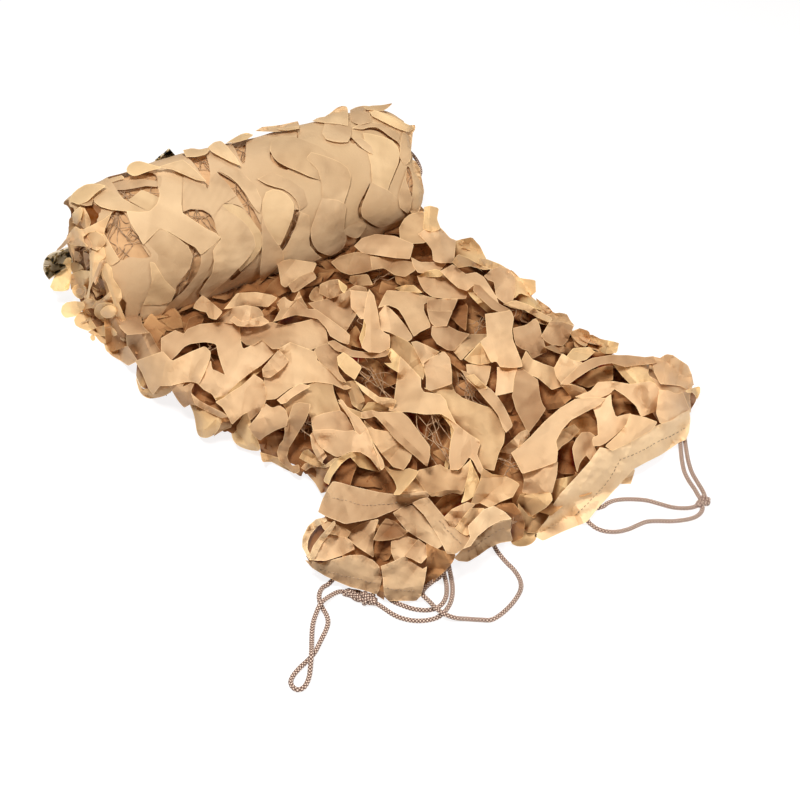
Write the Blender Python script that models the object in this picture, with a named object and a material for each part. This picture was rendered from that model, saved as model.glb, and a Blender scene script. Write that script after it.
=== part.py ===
"""Camouflage netting, half rolled up.

A net of incised cloth on a twine mesh, folded back and forth across its width
to a strip about 0.4 m wide and rolled up from its far end. About 0.42 m of the
folded strip still lies unrolled on the ground in front of the roll. A sewn
binding runs along the free end, and a braided drawcord comes out of the edge
in loops.

Metres, +Z up. The roll's axis runs along X, the unrolled strip runs to -Y, and
everything rests on Z = 0.
"""
import math

import bmesh
import bpy
from mathutils import Vector

for old in list(bpy.data.objects):
    bpy.data.objects.remove(old, do_unlink=True)

# ------------------------------------------------------------------ sizes
GAP = 0.0004             # clearance between pieces that touch

ROLL_RADIUS = 0.0685     # wound roll, mean radius
ROLL_AXIS_Y = 0.270      # roll axis, measured along Y
ROLL_AXIS_Z = 0.0640     # below the radius, so the roll has a flat spot
ROLL_LEFT = -0.192       # roll ends along X
ROLL_RIGHT = 0.176
ROLL_SIDES = 40
ROLL_STATIONS = 17
ROLL_STEP = 0.0050       # height of the step where the last turn leaves

LAYERS = 5               # folds of the strip, one on another
CLOTH = 0.0026           # thickness of cloth, twine and loose leaves together
STRIP_BACK_Y = 0.262     # the strip ends inside the roll
LAYER_CELLS = 15         # segments across one layer
FOLD_CELLS = 5           # segments round one fold
STRIP_STATIONS = 12
BAND_WIDTH = 0.040       # sewn binding on the free end

CORD_D = 0.0040          # braided drawcord
STRAP_W = 0.022          # printed tie strap
STRAP_T = 0.0016

# The point that is the model's origin: the middle of its box, on the ground.
ORIGIN_X = -0.00216
ORIGIN_Y = 0.06547


# ------------------------------------------------------------- small tools
def smooth(t):
    t = min(1.0, max(0.0, t))
    return t * t * (3.0 - 2.0 * t)


def table(rows, key, column, at):
    """Read a column of a table between its rows, with a smooth step."""
    if at <= rows[0][key]:
        return rows[0][column]
    for low, high in zip(rows, rows[1:]):
        if at <= high[key]:
            t = (at - low[key]) / (high[key] - low[key])
            return low[column] + (high[column] - low[column]) * smooth(t)
    return rows[-1][column]


def rows_of(columns, *rows):
    names = columns.split()
    return [dict(zip(names, row)) for row in rows]


def material(name, colour, roughness, metallic=0.0):
    mat = bpy.data.materials.new(name)
    mat.use_nodes = True
    shader = mat.node_tree.nodes["Principled BSDF"]
    shader.inputs["Base Color"].default_value = (*colour, 1.0)
    shader.inputs["Roughness"].default_value = roughness
    shader.inputs["Metallic"].default_value = metallic
    mat.diffuse_color = (*colour, 1.0)
    return mat


def new_object(name, bm, mat):
    for v in bm.verts:
        v.co.x -= ORIGIN_X
        v.co.y -= ORIGIN_Y
    bmesh.ops.recalc_face_normals(bm, faces=bm.faces)
    mesh = bpy.data.meshes.new(name)
    bm.to_mesh(mesh)
    bm.free()
    obj = bpy.data.objects.new(name, mesh)
    bpy.context.scene.collection.objects.link(obj)
    if mat is not None:
        mesh.materials.append(mat)
    mesh.shade_smooth()
    return obj


def grid_body(rings, closed=True):
    """A closed body from rings of points, capped at both ends."""
    bm = bmesh.new()
    verts = [[bm.verts.new(p) for p in ring] for ring in rings]
    count = len(rings[0])
    for a, b in zip(verts, verts[1:]):
        for i in range(count):
            j = (i + 1) % count
            quad(bm, a[i], a[j], b[j], b[i])
    return bm, verts


def quad(bm, a, b, c, d):
    """Two triangles, cut along the shorter diagonal."""
    if (a.co - c.co).length <= (b.co - d.co).length:
        bm.faces.new((a, b, c))
        bm.faces.new((a, c, d))
    else:
        bm.faces.new((a, b, d))
        bm.faces.new((b, c, d))


def smooth_route(points, spacing):
    """Evenly spaced points on a smooth curve through the given ones."""
    pts = [Vector(p) for p in points]
    first = pts[0] * 2 - pts[1]
    last = pts[-1] * 2 - pts[-2]
    pts = [first] + pts + [last]
    dense = []
    for i in range(1, len(pts) - 2):
        p0, p1, p2, p3 = pts[i - 1:i + 3]
        for s in range(24):
            t = s / 24.0
            dense.append(0.5 * ((2 * p1) + (p2 - p0) * t
                                + (2 * p0 - 5 * p1 + 4 * p2 - p3) * t * t
                                + (3 * p1 - p0 - 3 * p2 + p3) * t * t * t))
    dense.append(pts[-2])
    length = sum((b - a).length for a, b in zip(dense, dense[1:]))
    count = max(4, round(length / spacing))
    step = length / count
    out, walked, want = [dense[0]], 0.0, step
    for a, b in zip(dense, dense[1:]):
        run = (b - a).length
        while walked + run >= want - 1e-9 and len(out) < count:
            out.append(a.lerp(b, (want - walked) / run))
            want += step
        walked += run
    out.append(dense[-1])
    return out


# ---------------------------------------------------------------- materials
TAN = material("tan_net_cloth", (0.72, 0.50, 0.29), 0.62)
BAND = material("tan_binding_cloth", (0.71, 0.54, 0.33), 0.68)
CORD = material("braided_cord", (0.50, 0.36, 0.29), 0.70)
PRINT = material("printed_strap", (0.10, 0.085, 0.05), 0.45)

# ------------------------------------------------------------ the roll
# How far each stretch of the roll stands off its mean radius, and how far
# its surface bulges where the leaves of the last turn lie loose.
ROLL_FORM = rows_of(
    "x       radius   lobes   phase",
    (-0.192, -0.0050, 0.0030, 0.4),
    (-0.165, 0.0005, 0.0026, 0.9),
    (-0.110, 0.0015, 0.0018, 1.6),
    (-0.040, 0.0005, 0.0012, 2.2),
    (0.040, 0.0010, 0.0010, 2.9),
    (0.110, -0.0020, 0.0014, 3.3),
    (0.155, -0.0040, 0.0020, 4.1),
    (0.182, -0.0075, 0.0024, 4.6),
)
# Rings of an end face: share of the radius, and how far it is pressed in.
END_FORM = rows_of(
    "share inset_left inset_right",
    (0.93, -0.006, -0.003),
    (0.74, -0.003, -0.001),
    (0.50, 0.006, 0.004),
    (0.26, 0.013, 0.009),
)


def on_floor(z):
    """Cloth within a millimetre of the ground lies on it."""
    return 0.0 if z < 0.0010 else z


def roll_ring(x, share=1.0, push=0.0):
    ring = []
    grow = table(ROLL_FORM, "x", "radius", x)
    lobes = table(ROLL_FORM, "x", "lobes", x)
    phase = table(ROLL_FORM, "x", "phase", x)
    for i in range(ROLL_SIDES):
        a = 2.0 * math.pi * i / ROLL_SIDES
        turn = ROLL_STEP * (i / ROLL_SIDES - 0.5)
        r = (ROLL_RADIUS + grow + turn
             + lobes * math.sin(3 * a + phase) + 0.6 * lobes * math.sin(7 * a + 2 * phase))
        r *= share
        y = ROLL_AXIS_Y + r * math.sin(a)
        z = ROLL_AXIS_Z - r * math.cos(a)
        low = 0.0 if share == 1.0 else (1.0 - share) * ROLL_AXIS_Z
        ring.append((x + push, y, on_floor(max(low, z))))
    return ring


rings = []
for row in reversed(END_FORM):
    rings.append(roll_ring(ROLL_LEFT, row["share"], row["inset_left"]))
for i in range(ROLL_STATIONS):
    rings.append(roll_ring(ROLL_LEFT + (ROLL_RIGHT - ROLL_LEFT) * i / (ROLL_STATIONS - 1)))
for row in END_FORM:
    rings.append(roll_ring(ROLL_RIGHT, row["share"], -row["inset_right"]))
roll_bm, roll_verts = grid_body(rings)
for ring, push in ((roll_verts[0], 0.016), (roll_verts[-1], -0.011)):
    centre = roll_bm.verts.new((sum(v.co.x for v in ring) / len(ring) + push * 0.2,
                                ROLL_AXIS_Y, ROLL_AXIS_Z))
    for a, b in zip(ring, ring[1:] + ring[:1]):
        roll_bm.faces.new((a, b, centre))

# ------------------------------------------------ the unrolled folded strip
# Plan and height of the strip at stations along Y. left and right are the
# outline; top is the height of the highest layer; sway shifts the folds.
STRIP_FORM = rows_of(
    "y       left    right   top     wave",
    (-0.240, -0.150, 0.190, 0.046, 0.3),
    (-0.200, -0.172, 0.207, 0.050, 0.9),
    (-0.150, -0.176, 0.214, 0.056, 1.7),
    (-0.100, -0.156, 0.188, 0.058, 2.6),
    (-0.040, -0.152, 0.178, 0.056, 3.4),
    (0.020, -0.172, 0.180, 0.054, 4.3),
    (0.080, -0.190, 0.190, 0.056, 5.2),
    (0.140, -0.196, 0.190, 0.058, 6.0),
    (0.200, -0.190, 0.184, 0.056, 6.9),
    (0.262, -0.176, 0.172, 0.050, 7.8),
)
# Where the free end lies, for the lowest and the highest layer.
END_LINE = rows_of(
    "x       low     high",
    (-0.185, -0.138, -0.106),
    (-0.170, -0.158, -0.128),
    (-0.150, -0.192, -0.150),
    (-0.120, -0.220, -0.165),
    (-0.092, -0.199, -0.172),
    (-0.035, -0.201, -0.142),
    (0.015, -0.221, -0.140),
    (0.060, -0.217, -0.172),
    (0.100, -0.206, -0.160),
    (0.150, -0.200, -0.156),
    (0.178, -0.189, -0.154),
    (0.215, -0.168, -0.148),
)
# Towards its end the strip bunches up in two heads with a hollow between.
HOLLOW_Y = -0.070
BUNCH_FORM = rows_of(
    "x       rise",
    (-0.170, -0.006),
    (-0.115, 0.010),
    (-0.070, 0.004),
    (-0.022, -0.018),
    (0.030, -0.004),
    (0.110, 0.003),
    (0.190, 0.004),
)
# How far each fold stands in from the outline: uneven, as folded by hand.
FOLD_FORM = rows_of(
    "fold inset  waver",
    (0, 0.004, 0.5),
    (1, 0.000, 1.3),
    (2, 0.007, 2.6),
    (3, 0.002, 3.5),
    (4, 0.009, 4.7),
    (5, 0.020, 5.1),
)
# Long openings between the leaves of the top layer, the largest that show.
OPENINGS = rows_of(
    "x       y       length  width  angle",
    (-0.078, 0.070, 0.044, 0.017, 62.0),
    (-0.010, 0.104, 0.036, 0.014, 25.0),
    (0.035, 0.010, 0.046, 0.016, -35.0),
    (-0.035, -0.060, 0.058, 0.017, 80.0),
    (0.095, 0.060, 0.034, 0.013, 40.0),
    (0.060, -0.085, 0.034, 0.016, 70.0),
    (-0.100, -0.020, 0.034, 0.014, 15.0),
    (0.135, -0.020, 0.030, 0.012, -20.0),
)


def layer_height(share, x, y):
    """Mid height of the cloth, share 0 for the lowest layer, 1 for the top."""
    ahead = smooth((HOLLOW_Y - y) / 0.090)
    top = table(STRIP_FORM, "y", "top", y) + ahead * table(BUNCH_FORM, "x", "rise", x)
    wave = table(STRIP_FORM, "y", "wave", y)
    lift = (0.0060 * math.sin(31.0 * x + wave) + 0.0042 * math.sin(53.0 * x - 1.7 * wave + 1.0)
            + 0.0030 * math.sin(44.0 * y + 17.0 * x))
    side = max(abs(x - 0.012) / 0.19, 0.0)
    drop = 0.010 * max(0.0, side - 0.72) / 0.28
    height = top + lift - drop - CLOTH
    return CLOTH / 2.0 + share * height


def section(y):
    """Centreline of the back-and-forth section at one station along Y, as
    (x, share of height) pairs."""
    left = table(STRIP_FORM, "y", "left", y)
    right = table(STRIP_FORM, "y", "right", y)
    line = []
    for layer in range(LAYERS):
        start, stop = (layer, layer + 1)
        lo = FOLD_FORM[start]
        hi = FOLD_FORM[stop]
        shift_lo = lo["inset"] + 0.003 * math.sin(40.0 * y + lo["waver"])
        shift_hi = hi["inset"] + 0.003 * math.sin(40.0 * y + hi["waver"])
        if layer % 2 == 0:
            x0, x1 = left + shift_lo, right - shift_hi
        else:
            x0, x1 = right - shift_lo, left + shift_hi
        share = layer / (LAYERS - 1.0)
        for i in range(LAYER_CELLS + 1):
            line.append((x0 + (x1 - x0) * i / LAYER_CELLS, share))
        if layer < LAYERS - 1:
            bulge = 0.0052 * (1.0 if layer % 2 == 0 else -1.0)
            for i in range(1, FOLD_CELLS):
                a = math.pi * i / FOLD_CELLS
                line.append((x1 + bulge * math.sin(a),
                             share + (1.0 - math.cos(a)) / 2.0 / (LAYERS - 1.0)))
    return line


def end_y(x, share):
    low = table(END_LINE, "x", "low", x)
    high = table(END_LINE, "x", "high", x)
    return low + (high - low) * share


def strip_ring(v, back, front_offset):
    """One closed outline of the folded cloth. v runs from 0 at the back to 1
    at the line that lies front_offset behind the free end."""
    base_y = back + (-0.200 - back) * v
    line = section(base_y)
    centre = []
    for x, share in line:
        y = back + (end_y(x, share) + front_offset - back) * v
        centre.append(Vector((x, y, layer_height(share, x, y))))
    ring_a, ring_b = [], []
    for i, p in enumerate(centre):
        before = centre[max(0, i - 1)]
        after = centre[min(len(centre) - 1, i + 1)]
        along = Vector((after.x - before.x, 0.0, after.z - before.z)).normalized()
        normal = Vector((-along.z, 0.0, along.x))
        ring_a.append(p + normal * (CLOTH / 2.0))
        ring_b.append(p - normal * (CLOTH / 2.0))
    low = [Vector((p.x, p.y, on_floor(p.z))) for p in ring_a + ring_b[::-1]]
    return low


def cap(bm, ring, flip):
    """Close an end of the folded cloth: the ring is two equal rows."""
    half = len(ring) // 2
    side_a, side_b = ring[:half], ring[half:][::-1]
    for i in range(half - 1):
        quad(bm, side_a[i], side_a[i + 1], side_b[i + 1], side_b[i])


strip_rings = [strip_ring(i / (STRIP_STATIONS - 1), STRIP_BACK_Y, BAND_WIDTH + GAP)
               for i in range(STRIP_STATIONS)]
strip_bm, strip_verts = grid_body(strip_rings)
cap(strip_bm, strip_verts[0], False)
cap(strip_bm, strip_verts[-1], True)

netting = new_object("netting", roll_bm, TAN)
strip = new_object("strip_tool", strip_bm, None)

union = netting.modifiers.new("strip", "BOOLEAN")
union.operation = "UNION"
union.solver = "EXACT"
union.object = strip

# ------------------------------------------------ openings in the top layer
cut_bm = bmesh.new()
for row in OPENINGS:
    layer_top = layer_height(1.0, row["x"], row["y"])
    layer_below = layer_height(0.75, row["x"], row["y"])
    floor_z = 0.5 * (layer_top + layer_below) + 0.0006
    turn = math.radians(row["angle"])
    outline = []
    for i in range(10):
        a = 2.0 * math.pi * i / 10
        u = 0.5 * row["length"] * math.cos(a)
        w = 0.5 * row["width"] * math.sin(a)
        outline.append((row["x"] + u * math.cos(turn) - w * math.sin(turn),
                        row["y"] + u * math.sin(turn) + w * math.cos(turn)))
    below = []
    for x, y in outline:
        mid = 0.5 * (layer_height(1.0, x, y) + layer_height(0.75, x, y))
        below.append(cut_bm.verts.new((x, y, mid)))
    above = [cut_bm.verts.new((x, y, layer_top + 0.030)) for x, y in outline]
    cut_bm.faces.new(above)
    centre = cut_bm.verts.new((row["x"], row["y"], floor_z - 0.0006))
    for i in range(10):
        j = (i + 1) % 10
        cut_bm.faces.new((below[i], below[j], above[j], above[i]))
        cut_bm.faces.new((below[j], below[i], centre))
cutter = new_object("opening_tool", cut_bm, None)
cut = netting.modifiers.new("openings", "BOOLEAN")
cut.operation = "DIFFERENCE"
cut.solver = "EXACT"
cut.object = cutter
for tool in (strip, cutter):
    tool.hide_render = True
    tool.display_type = "WIRE"

# ------------------------------------------------------------- the binding
band_rings = []
for i in range(3):
    offset = BAND_WIDTH * (1.0 - i / 2.0)
    band_rings.append(strip_ring(1.0, STRIP_BACK_Y, offset))
band_bm, band_verts = grid_body(band_rings)
for v in band_bm.verts:
    v.co.z = max(v.co.z, 0.0003)   # the net carries the sewn strip
cap(band_bm, band_verts[0], False)
cap(band_bm, band_verts[-1], True)
edge_band = new_object("edge_band", band_bm, BAND)

# -------------------------------------------------------------- the cords
R = CORD_D / 2.0
UP = R + 0.0002          # centre of a cord that lies on the ground
OVER = 3.0 * R + 0.0012  # centre of a cord that lies over another
RISE = 2.0 * R + 0.0004  # on its way up to a crossing


def cord(name, route):
    """A round tube along a smooth curve through the route's points."""
    curve = bpy.data.curves.new(name, "CURVE")
    curve.dimensions = "3D"
    curve.bevel_depth = R
    curve.bevel_resolution = 2
    curve.use_fill_caps = True
    points = smooth_route([(x - ORIGIN_X, y - ORIGIN_Y, z) for x, y, z in route],
                          2.0 * CORD_D)
    spline = curve.splines.new("POLY")
    spline.points.add(len(points) - 1)
    for slot, p in zip(spline.points, points):
        slot.co = (*p, 1.0)
    curve.materials.append(CORD)
    obj = bpy.data.objects.new(name, curve)
    bpy.context.scene.collection.objects.link(obj)
    return obj


def route(*rows):
    """Rows of x, y and height above the ground."""
    return [dict(zip(("x", "y", "z"), row)) for row in rows]


CORD_ROUTES = {
    # the left loop: out of the binding, round its bight, back to the knot
    "drawcord_left": route(
        (-0.1762, -0.1652, UP), (-0.1822, -0.1660, UP), (-0.1875, -0.1698, UP),
        (-0.1913, -0.1760, UP), (-0.1932, -0.1834, UP), (-0.1944, -0.1925, UP),
        (-0.1973, -0.1998, UP), (-0.2033, -0.2061, UP), (-0.2116, -0.2126, UP),
        (-0.2206, -0.2196, UP), (-0.2290, -0.2234, UP), (-0.2382, -0.2265, UP),
        (-0.2461, -0.2304, UP), (-0.2505, -0.2348, UP), (-0.2510, -0.2406, UP),
        (-0.2482, -0.2440, UP), (-0.2431, -0.2434, UP), (-0.2364, -0.2378, UP),
        (-0.2311, -0.2310, RISE), (-0.2263, -0.2242, OVER), (-0.2187, -0.2113, RISE),
        (-0.2102, -0.1980, RISE), (-0.2018, -0.1887, RISE), (-0.1936, -0.1833, OVER),
        (-0.1829, -0.1787, RISE), (-0.1735, -0.1770, UP)),
    # two strands that leave the knot side by side and go back into the edge
    "drawcord_mid_outer": route(
        (-0.1536, -0.2078, UP), (-0.1502, -0.2197, UP), (-0.1461, -0.2278, UP),
        (-0.1395, -0.2350, UP), (-0.1307, -0.2403, UP), (-0.1215, -0.2423, UP),
        (-0.1121, -0.2398, UP), (-0.1035, -0.2342, UP), (-0.0957, -0.2253, UP),
        (-0.0898, -0.2150, UP), (-0.0852, -0.2056, UP)),
    "drawcord_mid_inner": route(
        (-0.1428, -0.2084, UP), (-0.1396, -0.2150, UP), (-0.1340, -0.2238, UP),
        (-0.1269, -0.2304, UP), (-0.1195, -0.2337, UP), (-0.1119, -0.2331, UP),
        (-0.1041, -0.2281, UP), (-0.0974, -0.2192, UP), (-0.0926, -0.2093, UP),
        (-0.0910, -0.2055, UP)),
    # the loop in front of the hollow, lying over the two strands
    "drawcord_front": route(
        (-0.1040, -0.2135, UP), (-0.1082, -0.2150, RISE), (-0.1131, -0.2163, RISE),
        (-0.1183, -0.2187, RISE), (-0.1209, -0.2240, OVER), (-0.1207, -0.2308, OVER),
        (-0.1201, -0.2385, OVER), (-0.1178, -0.2464, OVER), (-0.1113, -0.2524, RISE),
        (-0.1022, -0.2573, UP), (-0.0947, -0.2631, UP), (-0.0881, -0.2674, UP),
        (-0.0792, -0.2673, UP), (-0.0670, -0.2641, UP), (-0.0556, -0.2590, UP),
        (-0.0478, -0.2532, UP), (-0.0432, -0.2453, UP), (-0.0411, -0.2349, UP),
        (-0.0413, -0.2255, UP), (-0.0408, -0.2151, UP), (-0.0400, -0.2090, UP)),
    # right: two runs along the ground to the knot, two strands up to the edge
    "drawcord_run_a": route(
        (0.0684, -0.2218, UP), (0.0745, -0.2185, UP), (0.0812, -0.2178, UP),
        (0.0894, -0.2210, UP), (0.0980, -0.2269, UP), (0.1050, -0.2332, UP),
        (0.1110, -0.2420, UP), (0.1170, -0.2506, UP), (0.1240, -0.2566, UP),
        (0.1312, -0.2602, UP)),
    "drawcord_run_b": route(
        (0.0446, -0.2262, UP), (0.0451, -0.2298, UP), (0.0463, -0.2352, UP),
        (0.0500, -0.2414, UP), (0.0573, -0.2470, UP), (0.0677, -0.2503, UP),
        (0.0782, -0.2510, UP), (0.0873, -0.2521, UP), (0.0957, -0.2567, UP),
        (0.1055, -0.2633, UP), (0.1168, -0.2684, UP), (0.1254, -0.2703, UP),
        (0.1335, -0.2690, UP)),
    "drawcord_tail_a": route(
        (0.1748, -0.1983, UP), (0.1718, -0.2019, UP), (0.1636, -0.2125, UP),
        (0.1564, -0.2234, UP), (0.1518, -0.2342, UP), (0.1489, -0.2444, UP),
        (0.1462, -0.2516, UP)),
    "drawcord_tail_b": route(
        (0.1822, -0.1965, UP), (0.1761, -0.2047, UP), (0.1684, -0.2156, UP),
        (0.1615, -0.2275, UP), (0.1573, -0.2385, UP), (0.1539, -0.2484, UP),
        (0.1512, -0.2543, UP)),
}
for name, points in CORD_ROUTES.items():
    cord(name, [(p["x"], p["y"], p["z"]) for p in points])

# a short loop of the same cord at the roll's right end
cord("drawcord_back", [
    (ROLL_RIGHT + out, ROLL_AXIS_Y + y, ROLL_AXIS_Z + z)
    for out, y, z in ((0.0016, 0.016, 0.020), (0.0085, 0.011, 0.019),
                      (0.0135, 0.000, 0.016), (0.0145, -0.013, 0.010),
                      (0.0110, -0.024, 0.004), (0.0016, -0.031, 0.000))])


def knot(name, centre, heading, length, width, wraps):
    """A tight knot: a short body that swells at each wrap of the cord."""
    sides, stations = 14, 17
    turn = math.radians(heading)
    rings = []
    for i in range(stations):
        t = i / (stations - 1.0)
        body = math.sqrt(max(0.0, 1.0 - (2.0 * t - 1.0) ** 2)) ** 0.7
        swell = 0.86 + 0.14 * abs(math.sin(math.pi * wraps * t))
        r = max(0.0006, 0.5 * width * body * swell)
        along = (t - 0.5) * length
        ring = []
        for k in range(sides):
            a = 2.0 * math.pi * k / sides
            side = r * math.cos(a)
            z = max(0.0002, 0.47 * width + r * math.sin(a))
            ring.append((centre[0] + along * math.cos(turn) - side * math.sin(turn),
                         centre[1] + along * math.sin(turn) + side * math.cos(turn), z))
        rings.append(ring)
    bm, verts = grid_body(rings)
    bm.faces.new(verts[0])
    bm.faces.new(verts[-1])
    return new_object(name, bm, CORD)


knot("knot_left", (-0.1630, -0.1930), -58.0, 0.0240, 0.0095, 3.0)
knot("knot_right", (0.1418, -0.2618), 10.0, 0.0130, 0.0090, 2.0)

# ------------------------------------------------------ the printed strap
# It lies round the back of the roll; both ends stand clear of it. round is
# the angle from the top towards the back, off the distance from the axis.
STRAP_FORM = rows_of(
    "x       round  off     tilt",
    (-0.2080, 117.0, 0.0600, 10.0),
    (-0.2095, 110.0, 0.0660, -25.0),
    (-0.2045, 107.0, 0.0730, -38.0),
    (-0.1940, 108.0, 0.0785, -30.0),
    (-0.1800, 110.0, 0.0800, -12.0),
    (-0.1641, 111.0, 0.0800, 0.0),
    (-0.1382, 107.0, 0.0800, 0.0),
    (-0.1092, 98.0, 0.0800, 0.0),
    (-0.0965, 86.0, 0.0800, 0.0),
    (-0.0893, 74.0, 0.0800, 0.0),
    (-0.0812, 61.0, 0.0810, 4.0),
    (-0.0735, 51.0, 0.0860, 8.0),
    (-0.0615, 47.0, 0.0900, 16.0),
)


def strap_ring(row, before, after):
    a = math.radians(row["round"])
    out = Vector((0.0, math.sin(a), math.cos(a)))
    place = Vector((row["x"], ROLL_AXIS_Y, ROLL_AXIS_Z)) + out * row["off"]
    along = (after - before).normalized()
    across = along.cross(out).normalized()
    tilt = math.radians(row["tilt"])
    normal = (out - along * out.dot(along)).normalized()
    wide = across * math.cos(tilt) + normal * math.sin(tilt)
    thick = along.cross(wide).normalized()
    half, side = STRAP_T / 2.0, STRAP_W / 2.0
    ring = []
    for w, bow in ((-1.0, 0.0), (-0.5, 0.0006), (0.0, 0.0009), (0.5, 0.0006), (1.0, 0.0)):
        ring.append(place + wide * (w * side) + thick * (half + bow))
    for w, bow in ((1.0, 0.0), (0.5, 0.0006), (0.0, 0.0009), (-0.5, 0.0006), (-1.0, 0.0)):
        ring.append(place + wide * (w * side) + thick * (bow - half))
    return ring


places = []
for row in STRAP_FORM:
    a = math.radians(row["round"])
    places.append(Vector((row["x"], ROLL_AXIS_Y + row["off"] * math.sin(a),
                          ROLL_AXIS_Z + row["off"] * math.cos(a))))
strap_rings = []
for i, row in enumerate(STRAP_FORM):
    before = places[max(0, i - 1)]
    after = places[min(len(places) - 1, i + 1)]
    strap_rings.append(strap_ring(row, before, after))
strap_bm, strap_verts = grid_body(strap_rings)
cap(strap_bm, strap_verts[0], False)
cap(strap_bm, strap_verts[-1], True)
new_object("tie_strap", strap_bm, PRINT)
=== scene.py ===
import math

import bpy
import numpy as np
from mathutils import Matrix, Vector, geometry


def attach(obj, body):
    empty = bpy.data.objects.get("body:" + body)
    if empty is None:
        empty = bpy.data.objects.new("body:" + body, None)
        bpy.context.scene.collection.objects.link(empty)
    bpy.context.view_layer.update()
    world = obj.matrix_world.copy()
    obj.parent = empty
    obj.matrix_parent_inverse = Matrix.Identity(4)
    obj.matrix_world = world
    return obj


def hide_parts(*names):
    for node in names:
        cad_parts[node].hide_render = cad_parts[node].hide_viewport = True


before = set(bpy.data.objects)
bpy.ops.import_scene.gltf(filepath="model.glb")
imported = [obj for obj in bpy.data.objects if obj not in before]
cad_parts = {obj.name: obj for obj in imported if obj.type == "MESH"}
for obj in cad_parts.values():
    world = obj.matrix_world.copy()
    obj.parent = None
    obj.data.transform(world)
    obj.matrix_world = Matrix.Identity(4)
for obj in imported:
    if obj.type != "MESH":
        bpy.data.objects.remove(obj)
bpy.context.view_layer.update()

# ---------------------------------------------------------------- the frame
# Shapes are laid out in the net's own layout frame (X along the roll's axis,
# the camera's aim on the ground as origin) and shifted by ORIGIN into the
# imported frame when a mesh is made.
ORIGIN = np.array([-0.00216, 0.06547, 0.0])

ROLL_Y, ROLL_Z = 0.270, 0.0640
ROLL_LEFT, CAD_RIGHT = -0.192, 0.176

# ----------------------------------------------------------------- camera
AZ, EL, DIST, FOCAL = math.radians(-33.0), math.radians(40.0), 1.235, 1300.0
BACK = np.array([math.sin(AZ) * math.cos(EL), -math.cos(AZ) * math.cos(EL), math.sin(EL)])
EYE = BACK * DIST
FWD = -BACK
RIGHT = np.cross(FWD, [0.0, 0.0, 1.0]); RIGHT /= np.linalg.norm(RIGHT)
UPV = np.cross(RIGHT, FWD)

cam_data = bpy.data.cameras.new("camera")
cam_data.sensor_width = 36.0
cam_data.lens = 36.0 * FOCAL / 800.0
cam_data.clip_start = 0.01
cam_data.clip_end = 20.0
cam = bpy.data.objects.new("camera", cam_data)
bpy.context.scene.collection.objects.link(cam)
cam.location = Vector(EYE - ORIGIN)
cam.rotation_euler = Vector(FWD).to_track_quat("-Z", "Y").to_euler()
bpy.context.scene.camera = cam


def ray(u, v):
    """Direction from the eye through an image point of the 800 x 800 view."""
    d = FWD * FOCAL + RIGHT * (u - 400.0) + UPV * (400.0 - v)
    return d / np.linalg.norm(d)


def on_plane(u, v, z):
    d = ray(u, v)
    return EYE + d * ((z - EYE[2]) / d[2])


# ------------------------------------------------------------- small tools
def smooth(t):
    t = np.clip(t, 0.0, 1.0)
    return t * t * (3.0 - 2.0 * t)


def table(rows, at):
    """Read the second column of a table of (key, value) rows, linearly."""
    keys = [r[0] for r in rows]
    vals = [r[1] for r in rows]
    return np.interp(at, keys, vals)


def unit(v):
    v = np.asarray(v, float)
    return v / max(1e-12, np.linalg.norm(v))


def curve_points(points, step, closed=False):
    """Even points on a smooth curve through the given ones (Catmull-Rom)."""
    p = np.asarray(points, float)
    n = len(p)
    if closed:
        ext = np.vstack([p[-1], p, p[0], p[1]])
        spans = n
    else:
        ext = np.vstack([2 * p[0] - p[1], p, 2 * p[-1] - p[-2]])
        spans = n - 1
    t = np.linspace(0.0, 1.0, 13)[:-1][:, None]
    out = []
    for i in range(spans):
        p0, p1, p2, p3 = ext[i:i + 4]
        out.append(0.5 * (2 * p1 + (p2 - p0) * t + (2 * p0 - 5 * p1 + 4 * p2 - p3) * t ** 2
                          + (3 * p1 - p0 - 3 * p2 + p3) * t ** 3))
    out = np.vstack(out)
    out = np.vstack([out, p[:1] if closed else p[-1:]])
    return even(out, step)


def even(points, step, closed=False):
    p = np.asarray(points, float)
    if closed:
        p = np.vstack([p, p[:1]])
    run = np.linalg.norm(np.diff(p, axis=0), axis=1)
    s = np.concatenate([[0.0], np.cumsum(run)])
    count = max(2, int(round(s[-1] / step)))
    want = np.linspace(0.0, s[-1], count + 1)
    out = np.stack([np.interp(want, s, p[:, k]) for k in range(p.shape[1])], 1)
    return out[:-1] if closed else out


def inside(poly, pts):
    """Which 2-D points lie inside a polygon."""
    poly = np.asarray(poly, float)
    x, y = pts[:, 0], pts[:, 1]
    hit = np.zeros(len(pts), bool)
    j = len(poly) - 1
    for i in range(len(poly)):
        xi, yi = poly[i]
        xj, yj = poly[j]
        if yi != yj:
            cross = (yi > y) != (yj > y)
            hit ^= cross & (x < (xj - xi) * (y - yi) / (yj - yi) + xi)
        j = i
    return hit


def to_line(line, pts):
    """Distance from 2-D points to a polyline, the side they lie on, and how
    far along it, from 0 to 1."""
    line = np.asarray(line, float)
    best = np.full(len(pts), 1e9)
    side = np.zeros(len(pts))
    along = np.zeros(len(pts))
    run = np.concatenate([[0.0], np.cumsum(np.linalg.norm(np.diff(line, axis=0), axis=1))])
    for i in range(len(line) - 1):
        a, b = line[i], line[i + 1]
        ab = b - a
        l2 = ab @ ab
        if l2 < 1e-12:
            continue
        t = np.clip(((pts - a) @ ab) / l2, 0.0, 1.0)
        d = pts - (a + t[:, None] * ab)
        dist = np.hypot(d[:, 0], d[:, 1])
        near = dist < best
        best[near] = dist[near]
        side[near] = np.sign(ab[0] * d[near, 1] - ab[1] * d[near, 0])
        along[near] = (run[i] + t[near] * math.sqrt(l2)) / run[-1]
    return best, side, along


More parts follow.
